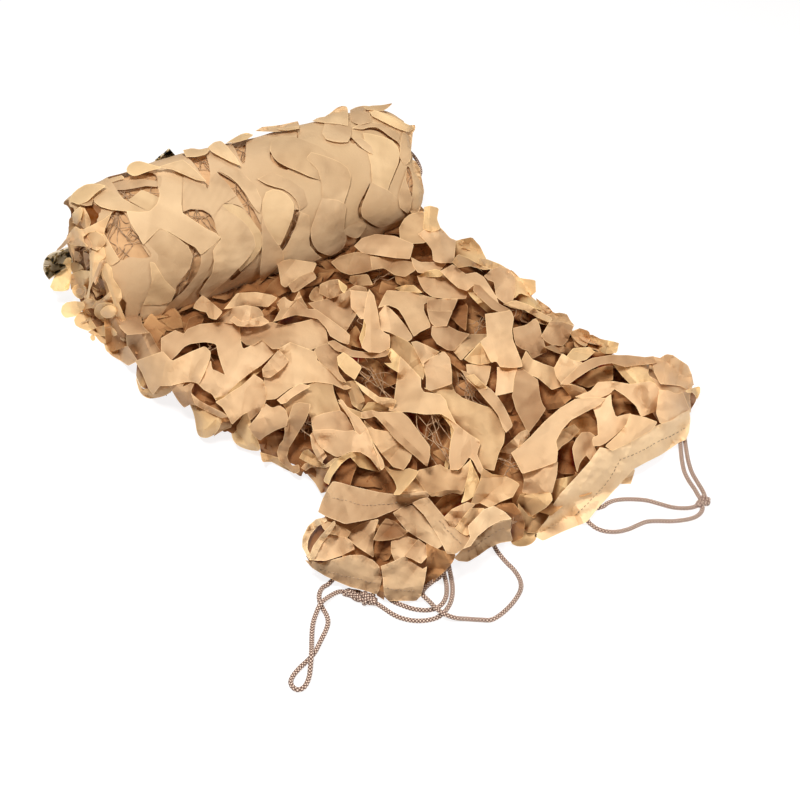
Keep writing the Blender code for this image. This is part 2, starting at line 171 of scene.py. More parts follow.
def wobble(p, seed, scale):
    """Smooth repeatable noise of points, about -1 to 1."""
    rng = np.random.default_rng(seed)
    out = np.zeros(len(p))
    total = 0.0
    for k in range(5):
        f = rng.normal(size=p.shape[1]) / scale * (1.0 + 0.55 * k)
        amp = 1.0 / (1.0 + 0.7 * k)
        out += amp * np.sin(p @ f + rng.uniform(0, 6.28))
        total += amp
    return out / total * 1.6


def triangulate(outer, holes=(), lines=(), spacing=4.0, rng=None, keep=None):
    """Fill a 2-D outline with even triangles, leaving the holes open and
    keeping an edge along each line. Points are in millimetres."""
    outer = np.asarray(outer, float)
    pts = [tuple(p) for p in outer]
    edges = [(i, (i + 1) % len(outer)) for i in range(len(outer))]
    for hole in holes:
        base = len(pts)
        pts += [tuple(p) for p in hole]
        edges += [(base + i, base + (i + 1) % len(hole)) for i in range(len(hole))]
    for line in lines:
        base = len(pts)
        pts += [tuple(p) for p in line]
        edges += [(base + i, base + i + 1) for i in range(len(line) - 1)]
    lo, hi = outer.min(0), outer.max(0)
    gx = np.arange(lo[0] + spacing * 0.5, hi[0], spacing)
    gy = np.arange(lo[1] + spacing * 0.5, hi[1], spacing * 0.866)
    grid = np.array([(x + (spacing * 0.5 if j % 2 else 0.0), y)
                     for j, y in enumerate(gy) for x in gx]).reshape(-1, 2)
    if len(grid):
        if rng is not None:
            grid = grid + rng.uniform(-0.16, 0.16, grid.shape) * spacing
        ok = inside(outer, grid)
        for hole in holes:
            ok &= ~inside(hole, grid)
        grid = grid[ok]
        bounds = [outer] + [np.asarray(h, float) for h in holes]
        ok = np.ones(len(grid), bool)
        for b in bounds:
            d, _, _ = to_line(np.vstack([b, b[:1]]), grid)
            ok &= d > spacing * 0.45
        for line in lines:
            d, _, _ = to_line(line, grid)
            ok &= d > spacing * 0.40
        pts += [tuple(p) for p in grid[ok]]
    res = geometry.delaunay_2d_cdt([Vector(p) for p in pts], edges, [], 0, 1e-5)
    verts = np.array([(v.x, v.y) for v in res[0]])
    faces = np.array([f for f in res[2] if len(f) == 3])
    mid = verts[faces].mean(1)
    ok = inside(outer, mid)
    for hole in holes:
        ok &= ~inside(hole, mid)
    faces = faces[ok]
    used = np.unique(faces)
    remap = -np.ones(len(verts), int)
    remap[used] = np.arange(len(used))
    return verts[used], remap[faces]


class Soup:
    """Many small sheets gathered into one mesh, with a tint and a tone for each: the cloth's own colour and also
    painted light and shade.
    """

    def __init__(self):
        self.v, self.f, self.uv, self.tint, self.tone, self.n = [], [], [], [], [], 0

    def add(self, verts, faces, uv, tint, tone=0.75):
        self.v.append(np.asarray(verts, float))
        self.tone.append(np.full(len(verts), float(tone)) if np.isscalar(tone) else tone)
        self.f.append(np.asarray(faces, int) + self.n)
        self.uv.append(np.asarray(uv, float))
        self.tint.append(np.full(len(verts), float(tint)) if np.isscalar(tint) else tint)
        self.n += len(verts)

    def build(self, name, mat, sharp=32.0, slot=None):
        v = np.vstack(self.v) - ORIGIN
        uv = np.vstack(self.uv)
        tint = np.concatenate(self.tint)
        faces = [f for part in self.f for f in part.tolist()]
        return mesh_object(name, v, faces, mat, uv, tint, sharp, np.concatenate(self.tone))


def mesh_object(name, verts, faces, mat, uv=None, tint=None, sharp=32.0, tone=None):
    mesh = bpy.data.meshes.new(name)
    mesh.from_pydata([tuple(p) for p in verts], [], [tuple(f) for f in faces])
    mesh.update()
    if uv is not None:
        layer = mesh.uv_layers.new(name="cloth")
        idx = np.zeros(len(mesh.loops), int)
        mesh.loops.foreach_get("vertex_index", idx)
        layer.data.foreach_set("uv", uv[idx].astype(np.float32).ravel())
    if tint is not None:
        att = mesh.attributes.new("tint", "FLOAT", "POINT")
        att.data.foreach_set("value", tint.astype(np.float32))
    # tone: random tone plus painted light and shade, read by the cloth materials
    if tone is not None:
        att = mesh.attributes.new("tone", "FLOAT", "POINT")
        att.data.foreach_set("value", np.clip(tone, 0.0, 1.0).astype(np.float32))
    mesh.materials.append(mat)
    mesh.shade_smooth()
    if sharp:
        mesh.set_sharp_from_angle(angle=math.radians(sharp))
    obj = bpy.data.objects.new(name, mesh)
    bpy.context.scene.collection.objects.link(obj)
    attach(obj, "root")
    return obj


# --------------------------------------------------------------- materials
def cloth_material(name, base, warm, shade, rough=0.55, glow=0.22, crumple=0.25,
                   crumple_scale=55.0, sheen=0.05):
    """Thin woven cloth: patchy colour, a fine weave, soft crumples, light that
    comes through it, and painted light and shade from a tone attribute."""
    mat = bpy.data.materials.new(name)
    mat.use_nodes = True
    nt = mat.node_tree
    nt.nodes.clear()
    out = nt.nodes.new("ShaderNodeOutputMaterial")
    mix = nt.nodes.new("ShaderNodeMixShader")
    mix.inputs[0].default_value = glow
    pr = nt.nodes.new("ShaderNodeBsdfPrincipled")
    tr = nt.nodes.new("ShaderNodeBsdfTranslucent")
    nt.links.new(pr.outputs[0], mix.inputs[1])
    nt.links.new(tr.outputs[0], mix.inputs[2])
    nt.links.new(mix.outputs[0], out.inputs[0])
    coord = nt.nodes.new("ShaderNodeTexCoord")
    tint = nt.nodes.new("ShaderNodeAttribute")
    tint.attribute_name = "tint"
    patch = nt.nodes.new("ShaderNodeTexNoise")
    patch.inputs["Scale"].default_value = 16.0
    patch.inputs["Detail"].default_value = 4.0
    nt.links.new(coord.outputs["Object"], patch.inputs["Vector"])
    ramp = nt.nodes.new("ShaderNodeValToRGB")
    ramp.color_ramp.elements[0].position = 0.30
    ramp.color_ramp.elements[0].color = (*shade, 1.0)
    ramp.color_ramp.elements[1].position = 0.72
    ramp.color_ramp.elements[1].color = (*base, 1.0)
    nt.links.new(patch.outputs["Fac"], ramp.inputs["Fac"])
    toned = nt.nodes.new("ShaderNodeMix")
    toned.data_type = "RGBA"
    toned.inputs["B"].default_value = (*warm, 1.0)
    nt.links.new(ramp.outputs["Color"], toned.inputs["A"])
    nt.links.new(tint.outputs["Fac"], toned.inputs["Factor"])
    # the tone attribute holds random tone and painted light and shade; low tones are painted darker and redder, as
    # shade among the layers
    deep = nt.nodes.new("ShaderNodeAttribute")
    deep.attribute_name = "tone"
    tone_and_shade_map = nt.nodes.new("ShaderNodeMapRange")
    tone_and_shade_map.data_type = "FLOAT_VECTOR"
    tone_and_shade_map.inputs[9].default_value = (0.16, 0.00, -0.09)
    tone_and_shade_map.inputs[10].default_value = (1.28, 1.32, 1.36)
    nt.links.new(deep.outputs["Fac"], tone_and_shade_map.inputs[6])
    shaded = nt.nodes.new("ShaderNodeVectorMath")
    shaded.operation = "MULTIPLY"
    nt.links.new(toned.outputs["Result"], shaded.inputs[0])
    nt.links.new(tone_and_shade_map.outputs["Vector"], shaded.inputs[1])
    nt.links.new(shaded.outputs["Vector"], pr.inputs["Base Color"])
    nt.links.new(shaded.outputs["Vector"], tr.inputs["Color"])
    # roughness: slightly worn and uneven
    rn = nt.nodes.new("ShaderNodeTexNoise")
    rn.inputs["Scale"].default_value = 70.0
    nt.links.new(coord.outputs["Object"], rn.inputs["Vector"])
    rr = nt.nodes.new("ShaderNodeMapRange")
    rr.inputs["To Min"].default_value = rough - 0.08
    rr.inputs["To Max"].default_value = rough + 0.10
    nt.links.new(rn.outputs["Fac"], rr.inputs["Value"])
    nt.links.new(rr.outputs["Result"], pr.inputs["Roughness"])
    pr.inputs["Sheen Weight"].default_value = sheen
    pr.inputs["Sheen Roughness"].default_value = 0.5
    pr.inputs["Sheen Tint"].default_value = (0.95, 0.72, 0.48, 1.0)
    pr.inputs["Specular IOR Level"].default_value = 0.22
    pr.inputs["Specular Tint"].default_value = (0.95, 0.78, 0.56, 1.0)
    # weave along the cloth's own directions, in millimetres
    waves = []
    for direction in ("X", "Y"):
        w = nt.nodes.new("ShaderNodeTexWave")
        w.bands_direction = direction
        w.inputs["Scale"].default_value = 0.42
        w.inputs["Distortion"].default_value = 0.3
        nt.links.new(coord.outputs["UV"], w.inputs["Vector"])
        waves.append(w)
    weave = nt.nodes.new("ShaderNodeMath")
    weave.operation = "MULTIPLY"
    nt.links.new(waves[0].outputs["Fac"], weave.inputs[0])
    nt.links.new(waves[1].outputs["Fac"], weave.inputs[1])
    fold = nt.nodes.new("ShaderNodeTexVoronoi")
    fold.feature = "F1"
    fold.inputs["Scale"].default_value = crumple_scale
    warp = nt.nodes.new("ShaderNodeTexNoise")
    warp.inputs["Scale"].default_value = 30.0
    warp.inputs["Detail"].default_value = 3.0
    nt.links.new(coord.outputs["Object"], warp.inputs["Vector"])
    shift = nt.nodes.new("ShaderNodeMix")
    shift.data_type = "RGBA"
    shift.blend_type = "ADD"
    shift.inputs["Factor"].default_value = 0.035
    nt.links.new(coord.outputs["Object"], shift.inputs["A"])
    nt.links.new(warp.outputs["Color"], shift.inputs["B"])
    nt.links.new(shift.outputs["Result"], fold.inputs["Vector"])
    b1 = nt.nodes.new("ShaderNodeBump")
    b1.inputs["Strength"].default_value = crumple
    b1.inputs["Distance"].default_value = 0.004
    nt.links.new(fold.outputs["Distance"], b1.inputs["Height"])
    b2 = nt.nodes.new("ShaderNodeBump")
    b2.inputs["Strength"].default_value = 0.18
    b2.inputs["Distance"].default_value = 0.0002
    nt.links.new(weave.outputs["Value"], b2.inputs["Height"])
    soft = nt.nodes.new("ShaderNodeTexNoise")
    soft.inputs["Scale"].default_value = 46.0
    soft.inputs["Detail"].default_value = 5.0
    soft.inputs["Roughness"].default_value = 0.62
    nt.links.new(coord.outputs["Object"], soft.inputs["Vector"])
    b3 = nt.nodes.new("ShaderNodeBump")
    b3.inputs["Strength"].default_value = 0.50
    b3.inputs["Distance"].default_value = 0.0035
    nt.links.new(soft.outputs["Fac"], b3.inputs["Height"])
    nt.links.new(b1.outputs["Normal"], b3.inputs["Normal"])
    nt.links.new(b3.outputs["Normal"], b2.inputs["Normal"])
    nt.links.new(b2.outputs["Normal"], pr.inputs["Normal"])
    return mat


def plain_material(name, base, rough):
    mat = bpy.data.materials.new(name)
    mat.use_nodes = True
    pr = mat.node_tree.nodes["Principled BSDF"]
    pr.inputs["Base Color"].default_value = (*base, 1.0)
    pr.inputs["Roughness"].default_value = rough
    return mat


ROLL_CLOTH = cloth_material("roll_cloth", (0.70, 0.495, 0.290), (0.77, 0.545, 0.28),
                            (0.62, 0.42, 0.235), rough=0.50, glow=0.16, crumple=0.04)
LEAF_CLOTH = cloth_material("leaf_cloth", (0.82, 0.565, 0.325), (0.92, 0.655, 0.315),
                            (0.74, 0.48, 0.26), rough=0.50, glow=0.26, crumple=0.08)
# painted shade: the inner leaves and the folded layers below are the same cloth, coloured darker and redder as the
# shade among the layers
SHADED_UNDER_CLOTH = cloth_material("under_cloth_painted_shade", (0.58, 0.305, 0.130), (0.68, 0.41, 0.18),
                             (0.44, 0.215, 0.085), rough=0.62, glow=0.15, crumple=0.5)
DEEP_SHADE_CLOTH = cloth_material("deep_cloth_painted_shade", (0.32, 0.140, 0.050), (0.38, 0.185, 0.07),
                            (0.23, 0.09, 0.03), rough=0.70, glow=0.05, crumple=0.6)
CORE_CLOTH = cloth_material("core_cloth", (0.80, 0.50, 0.26), (0.84, 0.54, 0.27),
                            (0.58, 0.34, 0.16), rough=0.65, glow=0.10, crumple=0.5)
BAND_CLOTH = cloth_material("band_cloth", (0.80, 0.575, 0.34), (0.88, 0.66, 0.38),
                            (0.70, 0.48, 0.27), rough=0.60, glow=0.12, crumple=0.35,
                            crumple_scale=60.0)


def thread_material(name, base, dark, scale):
    """Twisted thread: a fine lengthwise pattern of light and dark."""
    mat = plain_material(name, base, 0.6)
    nt = mat.node_tree
    pr = nt.nodes["Principled BSDF"]
    coord = nt.nodes.new("ShaderNodeTexCoord")
    w = nt.nodes.new("ShaderNodeTexNoise")
    w.inputs["Scale"].default_value = scale
    nt.links.new(coord.outputs["Object"], w.inputs["Vector"])
    ramp = nt.nodes.new("ShaderNodeValToRGB")
    ramp.color_ramp.elements[0].position = 0.35
    ramp.color_ramp.elements[0].color = (*dark, 1.0)
    ramp.color_ramp.elements[1].position = 0.65
    ramp.color_ramp.elements[1].color = (*base, 1.0)
    nt.links.new(w.outputs["Fac"], ramp.inputs["Fac"])
    nt.links.new(ramp.outputs["Color"], pr.inputs["Base Color"])
    return mat


TWINE_MAT = thread_material("net_twine_fibre", (0.56, 0.37, 0.22), (0.27, 0.155, 0.08), 260.0)
THREAD_MAT = thread_material("seam_thread_fibre", (0.52, 0.36, 0.22), (0.30, 0.19, 0.11), 400.0)

# ---------------------------------------------------------------- the roll
ROLL_FORM = ((-0.192, 0.0645), (-0.165, 0.0695), (-0.110, 0.0705), (-0.040, 0.0695),
             (0.040, 0.0700), (0.110, 0.0668), (0.155, 0.0645), (0.182, 0.0610))


def roll_radius(x, phi):
    r = table(ROLL_FORM, x)
    return r + 0.0012 * np.sin(3 * phi + 22 * x) + 0.0009 * np.sin(7 * phi - 31 * x + 1.0)


def roll_at(x, s, off):
    """A point of the roll: x along it, s round it from the top towards the
    front, both in millimetres, off the height above the mean surface."""
    x = np.asarray(x, float) / 1000.0
    phi = np.asarray(s, float) / 69.0
    r = roll_radius(x, phi) + np.asarray(off, float) / 1000.0
    y = ROLL_Y - r * np.sin(phi)
    z = ROLL_Z + r * np.cos(phi)
    return np.stack([x, y, np.maximum(z, 0.0006)], 1)


def roll_chart(u, v, off=1.0):
    """The roll's (x, s) in millimetres under an image point."""
    d = ray(u, v)
    lo, hi = 0.6, 2.0
    r = 0.0695
    for _ in range(6):
        rr = r + off / 1000.0
        a = d[1] ** 2 + d[2] ** 2
        oy, oz = EYE[1] - ROLL_Y, EYE[2] - ROLL_Z
        b = 2 * (oy * d[1] + oz * d[2])
        c = oy ** 2 + oz ** 2 - rr ** 2
        disc = max(0.0, b * b - 4 * a * c)
        t = (-b - math.sqrt(disc)) / (2 * a)
        p = EYE + d * t
        phi = math.atan2(-(p[1] - ROLL_Y), p[2] - ROLL_Z)
        r = float(roll_radius(np.array(p[0]), phi))
    return p[0] * 1000.0, phi * 69.0


def chart(points, off=1.0):
    return np.array([roll_chart(u, v, off) for u, v in points])


# Cuts in the roll's last turn: points of the view, how wide the cut stands
# open and how far its two lips lift, in millimetres. left is the lip on the
# left of the direction in which the points run.
ROLL_CUTS = (
    (((311, 152), (330, 158), (341, 163), (348, 170), (350, 178), (347, 192), (345, 200), (340, 210), (335, 222)), 1.3, -0.6, 0.0),
    (((361, 131), (370, 129.5), (379, 131), (385, 135), (391, 139), (397, 144), (399, 151), (399, 159), (396, 168), (391, 181), (386, 194)), 3.0, -0.4, 2.0),
    (((349, 139), (354, 141), (358, 147), (368, 152), (372, 157), (373, 165), (371, 176)), 2.6, 1.8, -0.4),
    (((370, 183), (366, 193), (362, 202), (360, 209), (361, 217), (367, 222), (373, 226), (380, 228)), 3.0, -0.8, 0.4),
    (((389, 207), (398, 212), (409, 216)), 1.2, 1.0, -0.2),
    (((349, 109), (348, 118), (349, 127)), 1.2, 0.9, -0.4),
    (((297, 133), (298, 138), (296, 143)), 1.2, 0.4, -0.3),
    (((318, 211), (330, 213)), 1.0, 0.7, -0.2),
    (((182, 176), (180, 188), (180, 200), (182, 211)), 2.0, -0.3, 0.0),
)

# Openings in the last turn: outline in the view and how far the rim lifts.
ROLL_HOLES = (
    (((110, 183), (124, 179.5), (140, 178), (154, 178), (158, 182), (158, 189), (159, 198), (156, 205),
      (150, 211), (142, 209), (131, 203), (122, 198), (115, 190)), 2.4),
    (((104, 232), (107, 222), (113, 213), (119, 211), (124, 213), (129, 221), (132, 229), (139, 237),
      (145, 246), (151, 256), (140, 258), (130, 257), (120, 260), (112, 249), (106, 240)), 2.2),
    (((184, 160), (196, 159.5), (206, 160), (209, 167), (210, 178), (207, 189), (203, 179), (196, 170)), 1.6),
    (((222, 143), (238, 142), (249, 141.5), (248, 150), (245, 163), (240, 161), (233, 152)), 1.6),
    (((299, 210), (297, 222), (293, 235), (290, 244), (282, 250), (279, 245), (282, 236), (286, 224), (292, 212)), 0.8),
    (((270, 152), (274, 158), (281, 162), (290, 166), (287, 170), (278, 167), (271, 160)), 0.2),
    (((181, 212), (190, 209), (203, 210), (212, 217), (217, 233), (207, 229), (195, 222)), 0.8),
    (((189, 244), (196, 250), (201, 257), (200, 266), (195, 276), (187, 286), (178, 296), (171, 301),
      (173, 292), (182, 279), (188, 270), (190, 260), (190, 253)), 0.6),
    (((217, 173), (227, 178), (237, 185), (245, 195), (251, 206), (257, 215), (262, 232), (255, 229), (248, 215), (240, 201), (230, 187)), 1.0),
    (((222, 204), (233, 204), (241, 207), (247, 214), (252, 226), (245, 221), (236, 213), (228, 210)), 0.4),
    (((239, 262), (247, 257), (251, 262), (243, 270), (232, 280), (229, 274)), 0.6),
    (((259, 132), (275, 133.5), (291, 131.5), (285, 137), (275, 138.5), (264, 137)), -0.4),
    (((292, 128), (299, 129.5), (300, 133), (294, 133.5)), 0.4),
    (((349, 138), (353, 138.5), (357, 143), (352, 144.5)), 0.3),
    (((405, 179), (408, 187), (411, 196), (413.5, 198), (413, 186), (411, 172), (408, 166), (405.5, 172)), 0.8),
    (((308, 229), (312, 240), (318, 247), (324, 252), (317, 255), (309, 250), (306, 240)), 0.2),
    (((340, 231), (350, 236), (361, 237), (354, 247), (343, 253), (341, 243)), 0.2),
    (((204, 281), (209, 277), (212, 280), (206, 290), (200, 298), (199, 292)), 0.4),
    (((138, 318), (143, 313), (146, 322), (150, 331), (156, 340), (148, 338), (141, 330)), 0.6),
)

# Fold lines that run across the flat leaves: two points of the view and how
# high the ridge (or how deep the trough) stands.
ROLL_CREASES = (
    ((318, 118), (345, 120), 0.7), ((262, 190), (250, 240), -0.8), ((340, 200), (352, 235), 0.7), ((395, 190), (412, 205), 0.8),
)


def skin_wave(p):
    """How far the last turn stands off the mean roll, in millimetres."""
    phi = p[:, 1] / 69.0
    back = (7.5 + 8.0 * np.exp(-((p[:, 0] + 60.0) / 60.0) ** 2)) * np.exp(-((phi + 0.78) / 0.55) ** 2)
    return 0.8 + back + 0.8 * wobble(p, 5, 38.0) + 0.3 * wobble(p, 6, 13.0)


def lens(line, width):
    """A closed outline round a cut that opens in its middle."""
    line = np.asarray(line, float)
    tang = np.gradient(line, axis=0)
    tang /= np.linalg.norm(tang, axis=1)[:, None] + 1e-9
    norm = np.stack([-tang[:, 1], tang[:, 0]], 1)
    t = np.linspace(0.0, 1.0, len(line))
    w = 0.5 * width * np.sin(math.pi * t) ** 0.6
    left = line + norm * w[:, None]
    right = (line - norm * w[:, None])[::-1]
    return np.vstack([left[:-1], right[:-1]])


def far_cuts(rng):
    """Cuts on the side of the roll that the view doesn't show."""
    cuts = []
    for row in range(4):
        s = -84.0 - 50.0 * row
        for k in range(6):
            x = -166.0 + 60.0 * k + (26.0 if row % 2 else 0.0) + rng.uniform(-6, 6)
            if x > 150:
                continue
            pts = [(x + dx, s + ds) for dx, ds in
                   ((-20, 14), (-6, 13), (8, 10), (18, 3), (20, -8), (15, -20), (10, -30))]
            pts = [(a + rng.uniform(-2, 2), b + rng.uniform(-2, 2)) for a, b in pts]
            if max(abs(p[0]) for p in pts) < 172 and min(p[1] for p in pts) > -208:
                cuts.append((curve_points(pts, 4.0), rng.uniform(2.0, 5.0), rng.uniform(2.0, 5.0), -0.8))
    return cuts


RIGHT_END = ((-230.0, 172.0), (-120.0, 175.0), (-54.0, 175.0), (0.0, 176.0), (18.0, 174.0), (36.0, 167.0), (54.0, 160.0),
             (72.0, 156.0), (86.0, 163.0), (100.0, 166.0), (115.0, 162.0), (130.0, 155.0), (230.0, 155.0))


def right_edge(s):
    return table(RIGHT_END, np.asarray(s)) + 1.2 * np.sin(np.asarray(s) / 9.0 + 1.0)


def build_roll():
    rng = np.random.default_rng(11)
    cuts = [(curve_points(chart(p), 3.0), w, l, r) for p, w, l, r in ROLL_CUTS]
    cuts += far_cuts(rng)
    holes = [(curve_points(chart(p), 3.0, closed=True)[:-1], lift) for p, lift in ROLL_HOLES]
    # the sheet's outline: ragged ends
    left = []
    for s in np.arange(-212.0, 150.0, 7.0):
        left.append((-186.0 + 5.0 * math.sin(s / 17.0) + 3.0 * math.sin(s / 7.3) + rng.uniform(-2, 2), s))
    right = []
    for s in np.arange(150.0, -212.0, -7.0):
        right.append((float(right_edge(s)) + rng.uniform(-1.5, 1.5), s))
    outer = curve_points(right + left, 4.0, closed=True)[:-1]
    open_cuts = [lens(c, w) for c, w, _, _ in cuts]
    lines = []
    for a, b, _ in ROLL_CREASES:
        lines.append(even(chart([a, b]), 4.0))
    all_holes = open_cuts + [h for h, _ in holes]
    v2, f = triangulate(outer, all_holes, lines, spacing=3.6, rng=rng)
    h = skin_wave(v2)
    for line, width, lift_l, lift_r in cuts:
        d, side, along = to_line(line, v2)
        env = np.sin(math.pi * np.clip(along, 0.0, 1.0)) ** 0.8
        h += np.where(side > 0, lift_l, lift_r) * env * np.exp(-(d / 8.0) ** 2)
    for hole, lift in holes:
        d, _, along = to_line(np.vstack([hole, hole[:1]]), v2)
        env = 0.55 + 0.45 * np.sin(2 * math.pi * (along * 2.0 + lift))
        h += lift * env * np.exp(-(d / 6.0) ** 2)
    for (a, b, rise), line in zip(ROLL_CREASES, lines):
        d, _, along = to_line(line, v2)
        env = np.clip(np.sin(math.pi * np.clip(along, 0.0, 1.0)) * 1.6, 0.0, 1.0)
        h += rise * env * np.clip(1.0 - d / 14.0, 0.0, 1.0)
    # ends droop inwards a little
    end = np.minimum(v2[:, 0] + 192.0, right_edge(v2[:, 1]) - v2[:, 0])
    h -= 3.0 * np.exp(-np.clip(end, 0.0, None) / 5.0)
    soup = Soup()
    soup.add(roll_at(v2[:, 0], v2[:, 1], h), f, v2, 0.10 + 0.10 * wobble(v2, 9, 60.0))
    return soup


def build_roll_core():
    """The turns below: another layer of cut cloth, pressed and crumpled."""
    nx, ns = 140, 170
    xs = np.linspace(-182.0, 160.0, nx)
    ss = np.linspace(-214.0, 200.0, ns)
    X, S = np.meshgrid(xs, ss, indexing="ij")
    p = np.stack([X.ravel(), S.ravel()], 1)
    fold = np.abs(wobble(p, 31, 11.0)) * 3.0 + np.abs(wobble(p, 32, 6.0)) * 1.4
    h = skin_wave(p) - 6.5 + fold
    v = roll_at(p[:, 0], p[:, 1], h)
    faces = []
    for i in range(nx - 1):
        for j in range(ns - 1):
            a = i * ns + j
            faces.append((a, a + 1, a + ns + 1, a + ns))
    soup = Soup()
    soup.add(v, faces, p, 0.0)
    return soup


def build_turns():
    """The wound turns that show at the two ends of the roll."""
    rng = np.random.default_rng(29)
    soup = Soup()
    for end, sign in ((ROLL_LEFT, -1.0), (0.160, 1.0)):
        turns, per = 8.5, 46
        n = int(turns * per)
        depth = 7
        phi = np.linspace(0.0, turns * 2 * math.pi, n)
        r = 0.0085 + (0.0600 - 0.0085) * (phi / phi[-1]) ** 0.9
        p = np.stack([phi * 12.0, r * 1000.0], 1)
        r = r + 0.0024 * wobble(p, 51, 16.0) + 0.0010 * wobble(p, 52, 6.0)
        reach = 0.004 * wobble(p, 53, 14.0) - 0.006 + 0.005 * (r / 0.06) + 0.002 * wobble(p, 54, 5.0)
        verts = []
        for k in range(depth):
            t = k / (depth - 1.0)
            x = end + sign * reach * (1 - t) - sign * 0.040 * t ** 1.3
            rr = r + (0.0025 * wobble(p + 40.0, 55, 9.0)) * (1 - t) ** 2
            # a turn keeps inside the roll's own section
            lim = roll_radius(x, phi) - 0.0035
            rr = np.minimum(rr, lim)
            verts.append(np.stack([x, ROLL_Y - rr * np.sin(phi), np.maximum(ROLL_Z + rr * np.cos(phi), 0.002)], 1))
        v = np.vstack(verts)
        faces = []
        for k in range(depth - 1):
            for i in range(n - 1):
                a = k * n + i
                faces.append((a, a + 1, a + n + 1, a + n))
        uv = np.vstack([np.stack([phi * 30.0, np.full(n, k * 7.0)], 1) for k in range(depth)])
        tint = np.concatenate([np.full(n, 0.45 if k == 0 else 0.15) for k in range(depth)])
        soup.add(v, faces, uv, tint)
    return soup


def roll_gap(q):
    """How far points stand off the roll's last turn and its ends, in metres."""
    dy, dz = q[:, 1] - ROLL_Y, q[:, 2] - ROLL_Z
    phi = np.arctan2(-dy, dz)
    xs = np.stack([q[:, 0] * 1000.0, phi * 69.0], 1)
    big = roll_radius(q[:, 0], phi) + (skin_wave(xs) + 0.3) / 1000.0
    edge = 0.010
    dx = np.maximum(ROLL_LEFT + 0.001 + edge - q[:, 0], q[:, 0] - right_edge(xs[:, 1]) / 1000.0 - 0.001 + edge)
    dr = np.hypot(dy, dz) - big + edge
    return np.hypot(np.maximum(dx, 0.0), np.maximum(dr, 0.0)) + np.minimum(np.maximum(dx, dr), 0.0) - edge


def on_roll(p, off, together=False):
    """Points of the view on the roll, off millimetres over it. Where the view
    passes by the roll they stand out beside it, at the nearest place, and
    points that belong together keep to one smooth sheet there."""
    d = FWD * FOCAL + RIGHT * (p[:, :1] - 400.0) + UPV * (400.0 - p[:, 1:2])
    d /= np.linalg.norm(d, axis=1)[:, None]
    off = np.asarray(off, float) / 1000.0
    t = np.full(len(p), 1.05)
    near, at = np.full(len(p), 9.0), t.copy()
    for _ in range(30):
        gap = roll_gap(EYE + d * t[:, None]) - off
        new = gap < near
        near[new] = gap[new]
        at[new] = t[new]
        t = t + np.where(near > 2e-5, np.maximum(gap, 1e-5) * 0.97, 0.0)
    by = near > 4e-4
    if together and by.any():
        apart = np.linalg.norm(p[:, None] - p[None], axis=2)
        w = np.exp(-(apart / 5.0) ** 2)
        even_at = (w * at[None]).sum(1) / w.sum(1)
        bumps = np.broadcast_to(off, at.shape) - off.mean()
        aside = np.exp(-(apart[:, by].min(1) / 7.0) ** 2)
        at = np.where(by, even_at - bumps, at + (np.minimum(at, even_at) - at) * aside)
    q = EYE + d * at[:, None]
    low = q[:, 2] < 0.0010
    q[low] = (EYE + d * ((0.0010 - EYE[2]) / d[:, 2])[:, None])[low]
    return q


# ---------------------------------------------------------------- the heap
# The unrolled length is a heap of cut cloth. heap() is its mean surface.
HEAP_LEFT = ((-0.240, -0.140), (-0.202, -0.147), (-0.169, -0.163), (-0.131, -0.178), (-0.105, -0.150),
             (-0.080, -0.127), (-0.050, -0.137), (-0.003, -0.149), (0.014, -0.163), (0.043, -0.183),
             (0.074, -0.193), (0.129, -0.198), (0.167, -0.200), (0.229, -0.193), (0.275, -0.186))
HEAP_RIGHT = ((-0.240, 0.150), (-0.200, 0.204), (-0.160, 0.220), (-0.130, 0.222), (-0.100, 0.212),
              (-0.088, 0.195), (-0.066, 0.188), (-0.026, 0.176), (0.000, 0.180), (0.048, 0.188),
              (0.112, 0.184), (0.161, 0.176), (0.218, 0.176), (0.275, 0.172))
HEAP_FRONT = ((-0.185, -0.138), (-0.170, -0.158), (-0.150, -0.190), (-0.120, -0.216), (-0.092, -0.197),
              (-0.055, -0.190), (-0.030, -0.186), (-0.005, -0.205), (0.015, -0.217), (0.060, -0.213),
              (0.100, -0.203), (0.150, -0.197), (0.178, -0.186), (0.215, -0.165))
HEAP_TOP = ((-0.240, 0.042), (-0.200, 0.046), (-0.150, 0.050), (-0.100, 0.051), (-0.040, 0.052),
            (0.020, 0.050), (0.080, 0.053), (0.140, 0.054), (0.200, 0.052), (0.262, 0.046))
HOLLOW = ((-0.200, 0.000), (-0.090, 0.000), (-0.060, 0.016), (-0.020, 0.018), (0.015, 0.004), (0.050, 0.000))


def heap(x, y):
    e = np.minimum(x - table(HEAP_LEFT, y), table(HEAP_RIGHT, y) - x)
    e = np.minimum(e, y - table(HEAP_FRONT, x))
    t = np.clip(e / 0.030, 0.0, 1.0)
    top = table(HEAP_TOP, y) + 0.0035 * np.sin(31 * x + 17 * y) * np.sin(37 * y - 12 * x + 1.3)
    top = top - table(HOLLOW, x) * smooth((-0.130 - y) / 0.060)
    return top * np.sqrt(1.0 - (1.0 - t) ** 2), e


GRID = 4.0
_u, _v = np.meshgrid(np.arange(40.0, 760.0, GRID), np.arange(180.0, 640.0, GRID), indexing="ij")
_d = FWD * FOCAL + RIGHT * (_u[..., None] - 400.0) + UPV * (400.0 - _v[..., None])
_hit = np.zeros(_u.shape)
_best = np.full(_u.shape, 1.0)
_graze = np.full(_u.shape, -1.0)
_open = np.ones(_u.shape, bool)
for _z in np.linspace(0.066, 0.0, 67):
    _t = (_z - EYE[2]) / _d[..., 2]
    _h, _e = heap(EYE[0] + _d[..., 0] * _t, EYE[1] + _d[..., 1] * _t)
    _gap = _z - _h
    _new = _open & (_gap <= 0.0) & (_e > 0.0)
    _hit[_new] = _z
    _open &= ~_new
    _near = _open & (_e > 0.0) & (_gap < _best)
    _best[_near] = _gap[_near]
    _graze[_near] = _z
_hit = np.where(_open & (_graze > 0.0) & (_best < 0.030), _graze, _hit)
HEAP_Z = _hit * 1000.0


